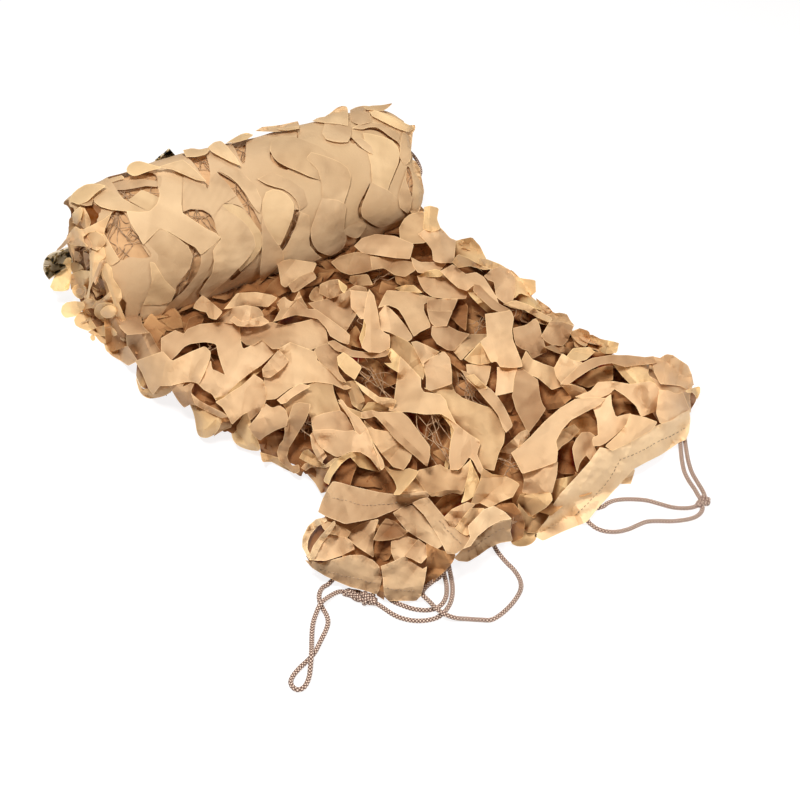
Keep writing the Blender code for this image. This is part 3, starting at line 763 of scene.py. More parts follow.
def heap_z(p):
    """The heap's height in millimetres under points of the view."""
    gu = np.clip((p[:, 0] - 40.0) / GRID, 0.0, HEAP_Z.shape[0] - 1.001)
    gv = np.clip((p[:, 1] - 180.0) / GRID, 0.0, HEAP_Z.shape[1] - 1.001)
    i, j = gu.astype(int), gv.astype(int)
    a, b = gu - i, gv - j
    return ((1 - a) * (1 - b) * HEAP_Z[i, j] + a * (1 - b) * HEAP_Z[i + 1, j]
            + (1 - a) * b * HEAP_Z[i, j + 1] + a * b * HEAP_Z[i + 1, j + 1])


def lift_to(p, z):
    """Points of the view at heights z (millimetres), in the layout frame."""
    d = FWD * FOCAL + RIGHT * (p[:, :1] - 400.0) + UPV * (400.0 - p[:, 1:2])
    t = (np.asarray(z)[:, None] / 1000.0 - EYE[2]) / d[:, 2:]
    q = EYE + d * t
    wide = q[:, 0] > 0.2405
    q[wide] = (EYE + d * ((0.2405 - EYE[0]) / d[:, 0])[:, None])[wide]
    return q


def offset_in(poly, by):
    """The outline moved inwards (for a narrow margin along a cut edge, painted lighter as a highlight)."""
    p = np.asarray(poly, float)
    nxt, prv = np.roll(p, -1, 0), np.roll(p, 1, 0)
    t = nxt - prv
    t /= np.linalg.norm(t, axis=1)[:, None] + 1e-9
    n = np.stack([-t[:, 1], t[:, 0]], 1)
    area = 0.5 * np.sum(p[:, 0] * nxt[:, 1] - nxt[:, 0] * p[:, 1])
    return p + n * (by if area > 0 else -by)


# How high the leaves laid so far stand, for each point of the view, in
# millimetres: a new leaf is draped over them.
_gu, _gv = np.meshgrid(np.arange(800.0), np.arange(800.0), indexing="ij")
COVER = np.zeros((800, 800))
LAID = {"heap": heap_z(np.stack([_gu.ravel(), _gv.ravel()], 1)).reshape(800, 800) - 12.0,
        "roll": np.full((800, 800), -7.0)}
RELIEF = {"heap": (5, 0.62, 0.5, 4.2), "roll": (2, 0.06, 0.40, 1.0), "end": (4, 0.45, 0.7, 3.4)}


# ------------------------------------------------------------------ cords
CORD_D = 0.0040
R = CORD_D / 2.0
UP = R + 0.0002
OVER = 3.0 * R + 0.0012
RISE = 2.0 * R + 0.0004

CORD_ROUTES = {
    "drawcord_left": (
        (-0.1762, -0.1652, UP), (-0.1822, -0.1660, UP), (-0.1875, -0.1698, UP),
        (-0.1913, -0.1760, UP), (-0.1932, -0.1834, UP), (-0.1944, -0.1925, UP),
        (-0.1973, -0.1998, UP), (-0.2033, -0.2061, UP), (-0.2116, -0.2126, UP),
        (-0.2206, -0.2196, UP), (-0.2290, -0.2234, UP), (-0.2382, -0.2265, UP),
        (-0.2461, -0.2304, UP), (-0.2505, -0.2348, UP), (-0.2510, -0.2406, UP),
        (-0.2482, -0.2440, UP), (-0.2431, -0.2434, UP), (-0.2364, -0.2378, UP),
        (-0.2311, -0.2310, RISE), (-0.2263, -0.2242, OVER), (-0.2187, -0.2113, RISE),
        (-0.2102, -0.1980, RISE), (-0.2018, -0.1887, RISE), (-0.1936, -0.1833, OVER),
        (-0.1829, -0.1787, RISE), (-0.1735, -0.1770, UP)),
    "drawcord_mid_outer": (
        (-0.1536, -0.2078, UP), (-0.1502, -0.2197, UP), (-0.1461, -0.2278, UP),
        (-0.1395, -0.2350, UP), (-0.1307, -0.2403, UP), (-0.1215, -0.2423, UP),
        (-0.1121, -0.2398, UP), (-0.1035, -0.2342, UP), (-0.0957, -0.2253, UP),
        (-0.0898, -0.2150, UP), (-0.0852, -0.2056, UP)),
    "drawcord_mid_inner": (
        (-0.1428, -0.2084, UP), (-0.1396, -0.2150, UP), (-0.1340, -0.2238, UP),
        (-0.1269, -0.2304, UP), (-0.1195, -0.2337, UP), (-0.1119, -0.2331, UP),
        (-0.1041, -0.2281, UP), (-0.0974, -0.2192, UP), (-0.0926, -0.2093, UP),
        (-0.0910, -0.2055, UP)),
    "drawcord_front": (
        (-0.0985, -0.2098, RISE), (-0.1044, -0.2105, RISE), (-0.1131, -0.2126, RISE),
        (-0.1183, -0.2155, RISE), (-0.1214, -0.2210, OVER), (-0.1207, -0.2288, OVER),
        (-0.1201, -0.2385, OVER), (-0.1178, -0.2464, OVER), (-0.1113, -0.2524, RISE),
        (-0.1022, -0.2573, UP), (-0.0947, -0.2631, UP), (-0.0881, -0.2674, UP),
        (-0.0792, -0.2673, UP), (-0.0670, -0.2641, UP), (-0.0556, -0.2590, UP),
        (-0.0478, -0.2532, UP), (-0.0432, -0.2453, UP), (-0.0411, -0.2349, UP),
        (-0.0413, -0.2255, UP), (-0.0408, -0.2151, UP), (-0.0396, -0.2074, UP)),
    "drawcord_run_a": (
        (0.0676, -0.2176, UP), (0.0740, -0.2166, UP), (0.0812, -0.2174, UP),
        (0.0894, -0.2210, UP), (0.0980, -0.2269, UP), (0.1050, -0.2332, UP),
        (0.1110, -0.2420, UP), (0.1170, -0.2506, UP), (0.1240, -0.2566, UP),
        (0.1312, -0.2602, UP)),
    "drawcord_run_b": (
        (0.0452, -0.2252, UP), (0.0453, -0.2296, UP), (0.0463, -0.2352, UP),
        (0.0500, -0.2414, UP), (0.0573, -0.2470, UP), (0.0677, -0.2503, UP),
        (0.0782, -0.2510, UP), (0.0873, -0.2521, UP), (0.0957, -0.2567, UP),
        (0.1055, -0.2633, UP), (0.1168, -0.2684, UP), (0.1254, -0.2703, UP),
        (0.1335, -0.2690, UP)),
    "drawcord_tail_a": (
        (0.1748, -0.1983, UP), (0.1718, -0.2019, UP), (0.1636, -0.2125, UP),
        (0.1564, -0.2234, UP), (0.1518, -0.2342, UP), (0.1489, -0.2444, UP),
        (0.1462, -0.2516, UP)),
    "drawcord_tail_b": (
        (0.1822, -0.1965, UP), (0.1761, -0.2047, UP), (0.1684, -0.2156, UP),
        (0.1615, -0.2275, UP), (0.1573, -0.2385, UP), (0.1539, -0.2484, UP),
        (0.1512, -0.2543, UP)),
    "drawcord_back": tuple((CAD_RIGHT + o, ROLL_Y + y, ROLL_Z + z) for o, y, z in
                           ((.0016, .016, .020), (.0085, .011, .019), (.0135, 0.0, .016), (.0145, -.013, .010), (.0110, -.024, .004), (.0016, -.031, .000))),
}

# Where each cord goes on from its ends: in under the cloth or into a knot.
CORD_ENDS = {
    "drawcord_left": (((-.1560, -.1560, UP), (-.1665, -.1610, UP)), ((-.1690, -.1835, .0046),)),
    "drawcord_mid_outer": (((-.1590, -.1980, .0050),), ((-.0805, -.1960, UP), (-.0770, -.1860, UP))),
    "drawcord_mid_inner": (((-.1445, -.1930, UP), (-.1438, -.2010, UP)), ((-.0880, -.1980, UP), (-.0850, -.1890, UP))),
    "drawcord_front": (((-.0830, -.2010, UP), (-.0905, -.2060, RISE)), ((-.0370, -.1990, UP), (-.0330, -.1900, UP))),
    "drawcord_run_a": (((.0520, -.2090, UP), (.0600, -.2155, UP)), ((.1375, -.2622, .0035),)),
    "drawcord_run_b": (((.0520, -.2110, UP), (.0475, -.2185, UP)), ((.1385, -.2655, .0035),)),
    "drawcord_tail_a": (((.1865, -.1830, UP), (.1812, -.1905, UP)), ((.1435, -.2580, .0035),)),
    "drawcord_tail_b": (((.1925, -.1830, UP), (.1875, -.1895, UP)), ((.1465, -.2600, .0040),)),
    "drawcord_back": (((CAD_RIGHT - .0100, ROLL_Y + .020, ROLL_Z + .0200),), ((CAD_RIGHT - .0100, ROLL_Y - .0365, ROLL_Z - .0040), (CAD_RIGHT - .0260, ROLL_Y - .0375, ROLL_Z - .0040))),
}

# Each cord's whole path. The cloth that covers its ends is draped over it.
CORD_PATHS = {}
for _name, _route in CORD_ROUTES.items():
    _before, _after = CORD_ENDS[_name]
    CORD_PATHS[_name] = curve_points(list(_before) + list(_route) + list(_after), 0.0009)
    if _name != "drawcord_back":
        _rel = CORD_PATHS[_name] - EYE
        _far = _rel @ FWD
        _px = np.stack([400.0 + FOCAL * (_rel @ RIGHT) / _far, 400.0 - FOCAL * (_rel @ UPV) / _far], 1)
        for _p, _z in zip(_px, CORD_PATHS[_name][:, 2]):
            _i, _j = int(round(_p[0])), int(round(_p[1]))
            _box = LAID["heap"][_i - 3:_i + 4, _j - 3:_j + 4]
            np.maximum(_box, (_z + R) * 1000.0 + 0.6, out=_box)


def spread(a, reach):
    for axis in (0, 1):
        out = a.copy()
        for k in range(1, reach + 1):
            lead = [slice(None), slice(None)]
            tail = [slice(None), slice(None)]
            lead[axis], tail[axis] = slice(k, None), slice(None, -k)
            lead, tail = tuple(lead), tuple(tail)
            out[lead] = np.maximum(out[lead], a[tail])
            out[tail] = np.maximum(out[tail], a[lead])
        a = out
    return a


def blur(a, reach):
    for axis in (0, 1):
        pad = [(0, 0), (0, 0)]
        pad[axis] = (reach, reach)
        wide = np.pad(a, pad, mode="edge")
        n = a.shape[axis]
        a = sum(np.take(wide, range(k, k + n), axis=axis) for k in range(2 * reach + 1)) / (2 * reach + 1.0)
    return a


def sample(grid, p, lo):
    u = np.clip(p[:, 0] - lo[0], 0.0, grid.shape[0] - 1.001)
    v = np.clip(p[:, 1] - lo[1], 0.0, grid.shape[1] - 1.001)
    i, j = u.astype(int), v.astype(int)
    a, b = u - i, v - j
    return ((1 - a) * (1 - b) * grid[i, j] + a * (1 - b) * grid[i + 1, j]
            + (1 - a) * b * grid[i, j + 1] + a * b * grid[i + 1, j + 1])


def leaf(soup, level, outline, dome=0.0, rim=0.0, tint=0.0, creases=(), folds=None, base=None,
         seed=1, slope=None, spacing=2.8, round_it=False, noise=None, on="heap", ruffle=None, tone=0.0):
    """One cut leaf of cloth, its outline given in the view. Heights are over
    what carries it: level for the whole leaf, a third number at a corner for
    that corner, dome for its middle and rim for its edge. tone paints the
    leaf lighter or darker, as light and shade."""
    usual = RELIEF[on]
    folds = usual[0] if folds is None else folds
    slope = usual[1] if slope is None else 3.2 * slope
    noise = usual[2] if noise is None else noise
    ruffle = usual[3] if ruffle is None else ruffle
    dome = 0.35 * dome if on == "end" else dome
    rng = np.random.default_rng(seed)
    ctrl = np.array([(p[0], p[1]) for p in outline], float)
    lifts = np.array([p[2] if len(p) > 2 else 0.0 for p in outline], float)
    edge = curve_points(ctrl, spacing, closed=True)[:-1] if round_it else even(ctrl, spacing, closed=True)
    inner = offset_in(edge, 0.9)
    lines = [np.vstack([inner, inner[:1]])]
    mid, size = ctrl.mean(0), np.ptp(ctrl, axis=0).max()
    flat = min(1.0, 44.0 / size)
    tents = []
    for k in range(folds):
        c = mid + rng.uniform(-0.30, 0.30, 2) * size
        a = rng.uniform(0, math.pi)
        d = np.array([math.cos(a), math.sin(a)])
        tents.append((c, d, rng.uniform(0.35, 1.0) * slope * flat * rng.choice([-1, 1])))
    for a, b, rise in creases:
        a, b = np.array(a, float), np.array(b, float)
        tents.append((0.5 * (a + b), unit(b - a), -1.8 * rise))
    for c, d, _ in tents:
        lines.append(even(np.array([c - d * size, c + d * size]), spacing))
    v2, f = triangulate(edge, (), lines, spacing=spacing, rng=rng)
    if len(f) == 0:
        return
    shake = rng.uniform(-ruffle, ruffle, len(ctrl))
    ring = np.vstack([edge, edge[:1]])

    def relief(p):
        dist, _, _ = to_line(ring, p)
        w = 1.0 / (np.linalg.norm(p[:, None] - ctrl[None], axis=2) ** 2 + 4.0)
        z = level + (w * (lifts + shake)).sum(1) / w.sum(1)
        z += dome * (1.0 - np.exp(-dist / (0.18 * size))) + rim * np.exp(-(dist / 4.0) ** 2)
        for c, d, k in tents:
            away = np.abs((p - c) @ np.array([-d[1], d[0]]))
            z += k * (np.minimum(away, 0.6 * size) - 0.22 * size)
        z += noise * (wobble(p, seed + 77, 8.0) + 0.30 * wobble(p, seed + 78, 4.2))
        if on == "heap":
            z = z + (heap_z(p) if base is None else base)
        elif on == "roll":
            z = np.maximum(z, 0.15)
        return z

    laid_on = LAID["heap" if on == "heap" else "roll"]
    lo = np.floor(edge.min(0)).astype(int) - 6
    hi = np.ceil(edge.max(0)).astype(int) + 7
    uu, vv = np.meshgrid(np.arange(lo[0], hi[0]), np.arange(lo[1], hi[1]), indexing="ij")
    pix = np.stack([uu.ravel(), vv.ravel()], 1).astype(float)
    height = relief(pix).reshape(uu.shape)
    within = inside(edge, pix).reshape(uu.shape)
    laid = laid_on[lo[0]:hi[0], lo[1]:hi[1]]
    need = np.where(within, np.clip(laid + 0.5 - height, 0.0, 15.0), 0.0)
    need = blur(blur(spread(need, 4), 2), 2)
    laid[within] = np.maximum(laid, height + need)[within]
    COVER[lo[0]:hi[0], lo[1]:hi[1]][within] = 1.0
    z = relief(v2) + sample(need, v2, lo)
    if on == "heap":
        pos = lift_to(v2, np.maximum(z, 0.5))
        over = z - heap_z(v2)
        loose = 1.0
    else:
        pos = on_roll(v2, z, on == "end")
        over = z + 2.0
        loose = np.clip((z - 0.8) / 1.5, 0.0, 1.0)
    dist, _, _ = to_line(ring, v2)
    # painted highlight: a ring along the cut edge (on the roll, only where the edge stands up) is painted lighter and
    # warmer, as the edge catching the light
    margin = np.where(dist < 0.5, 1.0, 0.0) * loose
    usual_tone = {"heap": -0.055 - 0.29 * rng.random() ** 2, "roll": -0.02, "end": -0.16 * rng.random() - 0.04}[on]
    # painted light and shade: the two sides of each fold are painted a little lighter and darker; usual_tone is a
    # random darker tone for each leaf
    sides = usual_tone + 0.22 * margin + sum(rng.uniform(-0.05, 0.05) * np.tanh(((v2 - c) @ np.array([-d[1], d[0]])) / 0.7) for c, d, _ in tents)
    # painted shade: the lower a leaf lies, the darker it is painted, and a little lighter where it stands high
    shade = 0.74 + tone + sides + 0.05 * rng.normal() + 0.05 * wobble(v2, seed + 9, 7.0) + np.clip(0.010 * (over - 2.0), -0.22, 0.08)
    soup.add(pos, f, v2, np.clip(tint + 0.35 * margin + 0.05 * rng.normal(), 0.0, 1.0), shade)


def strand(soup, pos, thick=0.00046):
    """A thin thread through points in space."""
    pos = np.asarray(pos, float)
    tang = np.gradient(pos, axis=0)
    tang /= np.linalg.norm(tang, axis=1)[:, None] + 1e-12
    side = np.cross(tang, BACK)
    side /= np.linalg.norm(side, axis=1)[:, None] + 1e-12
    up = np.cross(side, tang)
    n = len(pos)
    rings = [pos + thick * (math.cos(a) * side + math.sin(a) * up) for a in (0.0, 1.571, 3.142, 4.712)]
    verts = np.vstack(rings)
    faces = []
    for k in range(4):
        m = (k + 1) % 4
        for i in range(n - 1):
            faces.append((k * n + i, m * n + i, m * n + i + 1, k * n + i + 1))
    run = np.concatenate([[0.0], np.cumsum(np.linalg.norm(np.diff(pos, axis=0), axis=1))]) * 1000.0
    uv = np.vstack([np.stack([run, np.full(n, float(k))], 1) for k in range(4)])
    soup.add(verts, faces, uv, 0.2)


def twines(soup, outline, count, sag, seed, on="heap", fan=None):
    """The net's own twine where an opening shows it: strands from rim to rim,
    slack, some gathered at one point."""
    rng = np.random.default_rng(seed)
    rim = even(np.array(outline, float), 2.0, closed=True)
    mid = rim.mean(0)
    n = len(rim)
    grid = LAID[on]
    for k in range(count):
        i = int(rng.integers(n))
        if fan is not None and k % 3 != 2:
            a = np.array(fan, float) + rng.uniform(-2.0, 2.0, 2)
        else:
            a = rim[i] + (rim[i] - mid) * 0.10
        j = (i + int(rng.integers(n // 3, max(n // 3 + 1, 2 * n // 3)))) % n
        b = rim[j] + (rim[j] - mid) * 0.10
        long = np.linalg.norm(b - a)
        bend = rng.normal(0.0, 0.085, (3, 2)) * long
        path = curve_points([a, a + (b - a) * 0.25 + bend[0], a + (b - a) * 0.5 + bend[1], a + (b - a) * 0.75 + bend[2], b], 2.0)
        t = np.linspace(0.0, 1.0, len(path))
        if on == "heap":
            za = max(float(sample(grid, a[None], (0, 0))[0]) - 1.5, 4.0)
            zb = max(float(sample(grid, b[None], (0, 0))[0]) - 1.5, 4.0)
        else:
            za = zb = -0.6
        drop = rng.uniform(0.35, 1.0) * sag * np.sin(math.pi * t) ** 0.8
        z = za + (zb - za) * t - drop
        pos = lift_to(path, np.maximum(z, 2.0)) if on == "heap" else on_roll(path, np.maximum(z, -6.0))
        strand(soup, pos, 0.00036)


def stitches(soup, line, dash=2.3, gap=1.9):
    """A sewn row: short dashes that lie on the cloth, not quite even."""
    path = curve_points(line, 0.35)
    step = (dash + gap) / 0.35
    rng = np.random.default_rng(len(path))
    side = np.gradient(path, axis=0)
    side = np.stack([-side[:, 1], side[:, 0]], 1) / 0.35
    path = path + side * (0.7 * wobble(path, 61, 9.0) + 0.25 * wobble(path, 62, 3.0))[:, None]
    for s in np.arange(0.0, len(path) - dash / 0.35, step):
        a = int(s + rng.uniform(-0.8, 0.8)) if s > 1 else 0
        seg = path[a:a + int(dash / 0.35 * rng.uniform(0.85, 1.15)) + 1]
        if len(seg) < 4:
            continue
        z = sample(LAID["heap"], seg, (0, 0)) + 0.40
        if z.min() < 1.0:
            continue
        strand(soup, lift_to(seg, z), 0.00038)


TOP, LOW, BAND, ROLLED, ENDS, TWINE, THREAD = (Soup() for _ in range(7))

# Each row: soup, level, outline, options
PILE = [
    # the long leaf hanging off the roll's left end, and the pile's left edge
    ("A", 0, [(103, 262, 62), (150, 262, 74), (152, 281, 66), (148, 292, 62), (143, 304, 57), (140, 314, 52), (143, 326, 46),
              (150, 333, 43), (127, 335, 42), (120, 328, 45), (116, 316, 50), (112, 298, 57)], dict(base=0, creases=[((112, 300), (148, 306), 0.10)])),
    ("A", 0, [(126, 333, 44), (150, 332, 45), (157, 346, 41), (164, 355, 39), (150, 358, 36), (136, 362, 32), (129, 356, 33), (127, 346, 38)], dict(base=0)),
    ("L", 0, [(100, 300, 40), (113, 300, 48), (117, 318, 44), (125, 334, 36), (127, 346, 28), (112, 352, 14), (106, 345, 14), (104, 320, 30)], dict(base=0, tint=0.3)),
    ("T", 2, [(106, 350), (128, 346), (138, 361), (128, 366), (121, 361), (112, 356)], dict()),
    ("T", 9, [(135, 361), (163, 351), (172, 361), (190, 352), (205, 346), (211, 352), (210, 359), (205, 372), (199, 384, -2),
              (193, 382, -4), (186, 382, -3), (170, 386, -3), (160, 386, -4), (156, 391, -6), (153, 395, -8), (148, 388, -5), (142, 373, -3)],
     dict(creases=[((166, 360), (160, 386), 0.12), ((193, 352), (188, 382), -0.08)], folds=1)),
    ("T", 0, [(137, 364), (149, 386), (151, 391), (141, 387), (136, 376)], dict(tint=0.7)),
    ("T", 1, [(136, 377), (142, 388), (150, 388), (160, 384), (172, 383), (171, 391), (164, 396), (152, 398.5), (145, 397), (139, 390)],
     dict(dome=5, round_it=True, tint=0.3)),
    ("T", 2, [(169, 385), (186, 381), (182, 387), (191, 383), (196, 380), (191, 391), (195, 400), (197, 406), (191, 404), (184, 408), (178, 401), (172, 391)],
     dict(creases=[((180, 384), (193, 402), 0.2)])),
    ("L", 0, [(195, 383), (206, 391), (217, 397), (214, 407), (200, 404), (192, 395)], dict()),
    ("T", 0, [(190, 403), (200, 406), (210, 411), (222, 415), (221, 424), (217, 432), (211, 436.5), (205, 438), (199, 436), (196.5, 430), (195, 420), (193, 412)],
     dict(dome=7, round_it=True, tint=0.55, rim=-1)),
    ("T", 5, [(191, 393), (200, 401), (212, 407), (222, 412), (229, 417), (221, 418), (208, 412), (195, 405)], dict(creases=[((193, 398), (226, 416), 0.2)])),
    ("T", -2, [(221, 414), (229, 417), (232, 427), (222, 431), (213, 437), (219, 427)], dict(tint=0.2)),
    ("T", 6, [(161, 352), (161, 338), (175, 330), (184, 334), (187, 329), (200, 324), (222, 322), (240, 325), (241, 342), (243, 349), (252, 345), (262, 340),
              (271, 348), (279, 349), (262, 365), (250, 373), (239, 382), (226, 396), (216, 401), (212, 394), (204, 390), (196, 382), (199, 376),
              (206, 366), (211, 360), (212, 369), (217, 371), (225, 375), (221, 364), (218, 354), (216, 344), (205, 342), (190, 344), (184, 347), (176, 356), (168, 363), (163, 355)],
     dict(creases=[((186, 332), (240, 352), 0.06), ((222, 352), (200, 380), 0.05), ((250, 345), (215, 398), 0.06)], folds=1, slope=0.05)),
    ("L", -3, [(184, 332), (189, 318), (197, 315), (204, 318), (201, 326), (192, 334)], dict()),
    ("T", 9, [(195, 303), (202, 295, 4), (208, 299, 3), (223, 312), (216, 320), (209, 318), (206, 312), (200, 311), (193, 308)], dict(creases=[((202, 297), (212, 318), 0.25)])),
    ("T", 8, [(215, 323), (224, 315), (234, 307), (246, 305), (258, 307), (262, 311), (264, 317), (262, 320), (250, 322), (240, 325), (225, 323)], dict(creases=[((222, 320), (262, 312), 0.08)])),
    ("T", 11, [(230, 320), (234, 316), (242, 322), (255, 318), (262, 316), (270, 322), (262, 326), (248, 327), (237, 326)], dict(creases=[((232, 319), (268, 322), 0.3)])),
    ("T", 5, [(224, 309), (237, 293), (256, 292), (272, 295), (278, 298), (268, 307), (258, 306), (246, 305), (234, 308)], dict(tint=0.15)),
    ("L", 1, [(261, 312), (268, 305), (277, 308), (281, 319), (270, 323), (264, 321)], dict()),
    ("T", 9, [(273, 322), (280, 310), (276, 303), (284, 296, 3), (288, 300), (293, 302), (299, 291, 5), (303, 300), (309, 309), (296, 314), (286, 318)], dict(creases=[((299, 293), (284, 316), 0.2)])),
    ("T", 7, [(240, 340), (242, 327), (256, 324), (272, 322), (284, 325), (300, 322), (312, 319), (320, 321), (325, 327), (327, 334), (328, 343), (318, 347),
              (311, 350), (290, 343), (280, 349), (272, 349), (262, 340), (253, 346), (246, 345)], dict(creases=[((284, 324), (281, 348), 0.08)], slope=0.04)),
    ("L", -2, [(277, 323), (284, 318), (291, 316), (300, 318), (312, 320), (300, 324), (284, 326)], dict()),
    # the middle of the left half
    ("T", 8, [(278, 349), (290, 342, 3), (300, 346), (316, 352), (317, 360), (328, 369), (341, 381), (352, 388), (345, 390), (332, 384), (316, 382),
              (300, 384), (289, 389), (276, 399), (266, 400), (264, 386), (264, 377), (276, 371), (289, 361)],
     dict(creases=[((290, 344), (294, 380), 0.10), ((280, 356), (330, 384), -0.06)], slope=0.05, tint=0.1)),
    ("T", 12, [(263, 377), (262, 369), (268, 362), (279, 349), (289, 361), (283, 368), (270, 378)], dict(creases=[((279, 351), (266, 376), -0.12)])),
    ("T", 8, [(214, 398), (226, 395), (229, 391), (240, 381), (252, 372), (262, 365), (279, 349), (277, 356), (263, 369), (251, 379), (239, 389), (228, 398), (219, 402)],
     dict(tint=0.8, creases=[((222, 398), (276, 352), -0.35)], folds=0)),
    ("T", 11, [(254, 374), (263, 380, -2), (266, 388, -4), (267, 398, -7), (264, 406, -9), (258, 413, -8), (250, 421, -5), (247, 412), (240, 417), (232, 425), (228, 417), (222, 407),
               (215, 402), (223, 398), (231, 392), (241, 386), (250, 378)], dict(creases=[((247, 380), (240, 416), 0.10)], slope=0.05)),
    ("T", 10, [(248, 427), (258, 415), (265, 403), (272, 408), (280, 405), (286, 410), (288, 417), (287, 426), (276, 430), (264, 437), (260, 441), (254, 436)],
     dict(creases=[((256, 420), (286, 410), 0.10)], slope=0.05)),
    ("T", 0, [(232, 429), (238, 424), (247, 411), (251, 424), (253, 433), (258, 441), (260, 450), (252, 450.5), (243, 448), (236, 444), (232, 437)],
     dict(dome=6, round_it=True, tint=0.6)),
    ("L", -1, [(259, 442), (268, 436), (277, 430), (287, 430), (287, 439), (282, 446), (278, 453), (279, 461), (270, 458), (261, 453)], dict()),
    ("T", 0, [(260, 452), (270, 455), (280, 458), (284, 463), (291, 469), (299, 473), (293, 473), (281, 467), (272, 462), (262, 462)], dict(tint=0.4, creases=[((262, 457), (296, 472), 0.15)])),
    ("T", 8, [(283, 440), (285, 431), (284, 428), (288, 419), (293, 404), (300, 402), (311, 404), (309, 412), (306, 420), (300, 430), (294, 440), (289, 448), (287, 456),
              (289, 462), (293, 466, -4), (299, 464, -6), (300, 472, -6), (294, 474, -6), (286, 467, -4), (279, 461), (277, 452), (279, 445)],
     dict(creases=[((290, 422), (283, 455), 0.10)], rim=1.0)),
    ("T", 6, [(281, 402), (290, 395), (306, 386), (316, 381), (332, 380), (334, 392), (337, 401), (341, 411), (330, 415), (318, 416), (311, 418), (308, 411), (300, 422), (287, 420), (286, 409)],
     dict(tint=0.35, dome=2, slope=0.06)),
    ("T", 12, [(277, 400), (288, 391), (300, 383), (311, 386), (299, 393), (290, 399), (286, 403), (281, 404)], dict(folds=0)),
    ("T", 6, [(311, 418), (324, 413), (340, 410), (346, 415), (351, 425), (355, 432), (346, 433), (330, 432), (314, 433), (312, 427)], dict(slope=0.06)),
    ("T", 12, [(312, 430), (330, 429), (345, 431), (354, 430), (360, 435), (366, 430), (370, 437), (373, 447), (377, 456), (381, 466, -3), (380, 472, -5), (376, 466), (370, 458), (360, 452),
               (350, 452), (342, 456), (336, 457), (327, 452), (319, 446), (315, 438)], dict(creases=[((355, 431), (350, 452), 0.12), ((366, 432), (374, 462), 0.10)], slope=0.05)),
    ("T", 9, [(342, 456), (351, 452), (362, 451), (371, 457), (377, 464), (380, 472), (370, 470), (359, 467), (354, 461), (350, 457), (342, 463), (335, 472), (331, 478), (329, 485),
              (323, 481), (326, 474), (331, 465), (336, 459)], dict(tint=0.8, creases=[((336, 462), (326, 482), 0.15), ((346, 454), (378, 468), 0.12)])),
    ("L", -4, [(340, 464), (350, 456), (357, 466), (353, 476), (350, 487), (340, 483), (333, 483), (332, 476)], dict()),
    ("T", 4, [(310, 435), (314, 430), (318, 440), (322, 448), (327, 456), (322, 462), (326, 466), (318, 460), (312, 448)], dict(creases=[((312, 436), (324, 462), 0.2)])),
    ("T", 2, [(299, 458), (303, 451), (308, 449), (318, 458), (324, 466), (334, 458), (339, 458), (331, 466), (325, 468), (314, 466), (306, 462)], dict(tint=0.5, rim=2)),
    ("L", -5, [(296, 455), (304, 446), (314, 450), (322, 456), (332, 455), (334, 462), (322, 466), (308, 463)], dict()),
    ("T", -1, [(303, 468), (312, 464), (322, 467), (333, 465), (334, 473), (328, 484), (335, 490), (326, 492), (321, 493.5), (315, 483), (308, 475)], dict(tint=0.2)),
    ("T", 1, [(301, 468), (305, 463), (313, 463), (319, 467), (311, 467), (306, 471)], dict(rim=1.5)),
    ("L", 0, [(293, 467), (300, 463), (304, 470), (301, 477), (295, 473)], dict(tint=0.6)),
    ("T", 10, [(338, 400), (342, 399), (350, 411), (360, 418), (367, 428), (372, 440), (377, 450), (383, 460), (385, 467), (381, 471), (377, 455), (371, 441), (366, 431), (360, 436), (355, 431), (350, 419), (343, 408)],
     dict(creases=[((341, 401), (382, 466), 0.25)], folds=0)),
    ("T", 5, [(364, 420), (374, 429), (386, 431), (393, 433), (402, 441), (413, 452), (410, 461), (404, 470), (393, 467), (381, 453), (372, 440), (366, 430)],
     dict(tint=0.15, creases=[((390, 432), (392, 466), -0.08)])),
    ("T", 12, [(361, 412), (372, 410), (378, 412), (390, 412), (402, 412), (409, 418), (420, 433), (430, 446), (430, 456), (428, 464, -2), (427, 467, -4), (417, 458, -3), (404, 447, -3), (395, 439, -3), (386, 428, -3),
               (375, 416), (370, 418), (362, 419)], dict(creases=[((380, 415), (426, 458), 0.20)], folds=1, slope=0.04)),
    ("L", 1, [(403, 470), (407, 460), (411, 455), (417, 463), (417, 471), (408, 471)], dict()),
    ("T", 8, [(383, 465), (386, 466), (391, 470), (400, 471), (409, 468), (419, 471), (415, 478), (408, 486), (400, 495), (393, 495), (397, 488), (394, 480), (388, 472)],
     dict(tint=0.5, creases=[((390, 471), (400, 492), -0.15), ((418, 472), (398, 492), 0.15)])),
    ("T", 5, [(415, 475), (420, 485), (429, 492), (424, 495), (410, 495), (399, 496), (408, 486)], dict(tint=0.2, creases=[((400, 494), (424, 492), 0.15)])),
    ("T", 6, [(427, 468), (440, 464), (447, 469), (458, 471), (465, 465), (471, 459), (470, 470), (467, 480), (464, 490), (462, 495), (450, 491), (442, 494), (432, 497), (424, 490), (415, 476), (418, 470)],
     dict(tint=0.15, dome=-2, slope=0.05)),
    ("T", 10, [(448, 418), (456, 423), (464, 430), (468, 433), (480, 441), (480, 445), (477, 454), (483, 468), (491, 474), (485, 480), (478, 471), (473, 461), (469, 457), (464, 465), (459, 470), (450, 470), (449, 455),
               (451, 440), (454, 430)], dict(creases=[((463, 430), (460, 468), 0.10), ((470, 436), (472, 458), -0.08)], slope=0.04)),
    ("T", 6, [(437, 412), (446, 414), (454, 424), (456, 432), (452, 444), (450, 458), (448, 470), (444, 466), (449, 450), (451, 436), (450, 426), (444, 418)], dict(tint=0.8, rim=1)),
    ("T", 12, [(400, 356), (410, 366), (421, 378), (421, 387), (424, 392), (440, 394), (446, 400), (448, 408), (457, 425), (448, 418), (441, 414), (425, 414.5), (408, 412), (398, 412), (388, 411), (394, 400), (396, 385), (398, 370)],
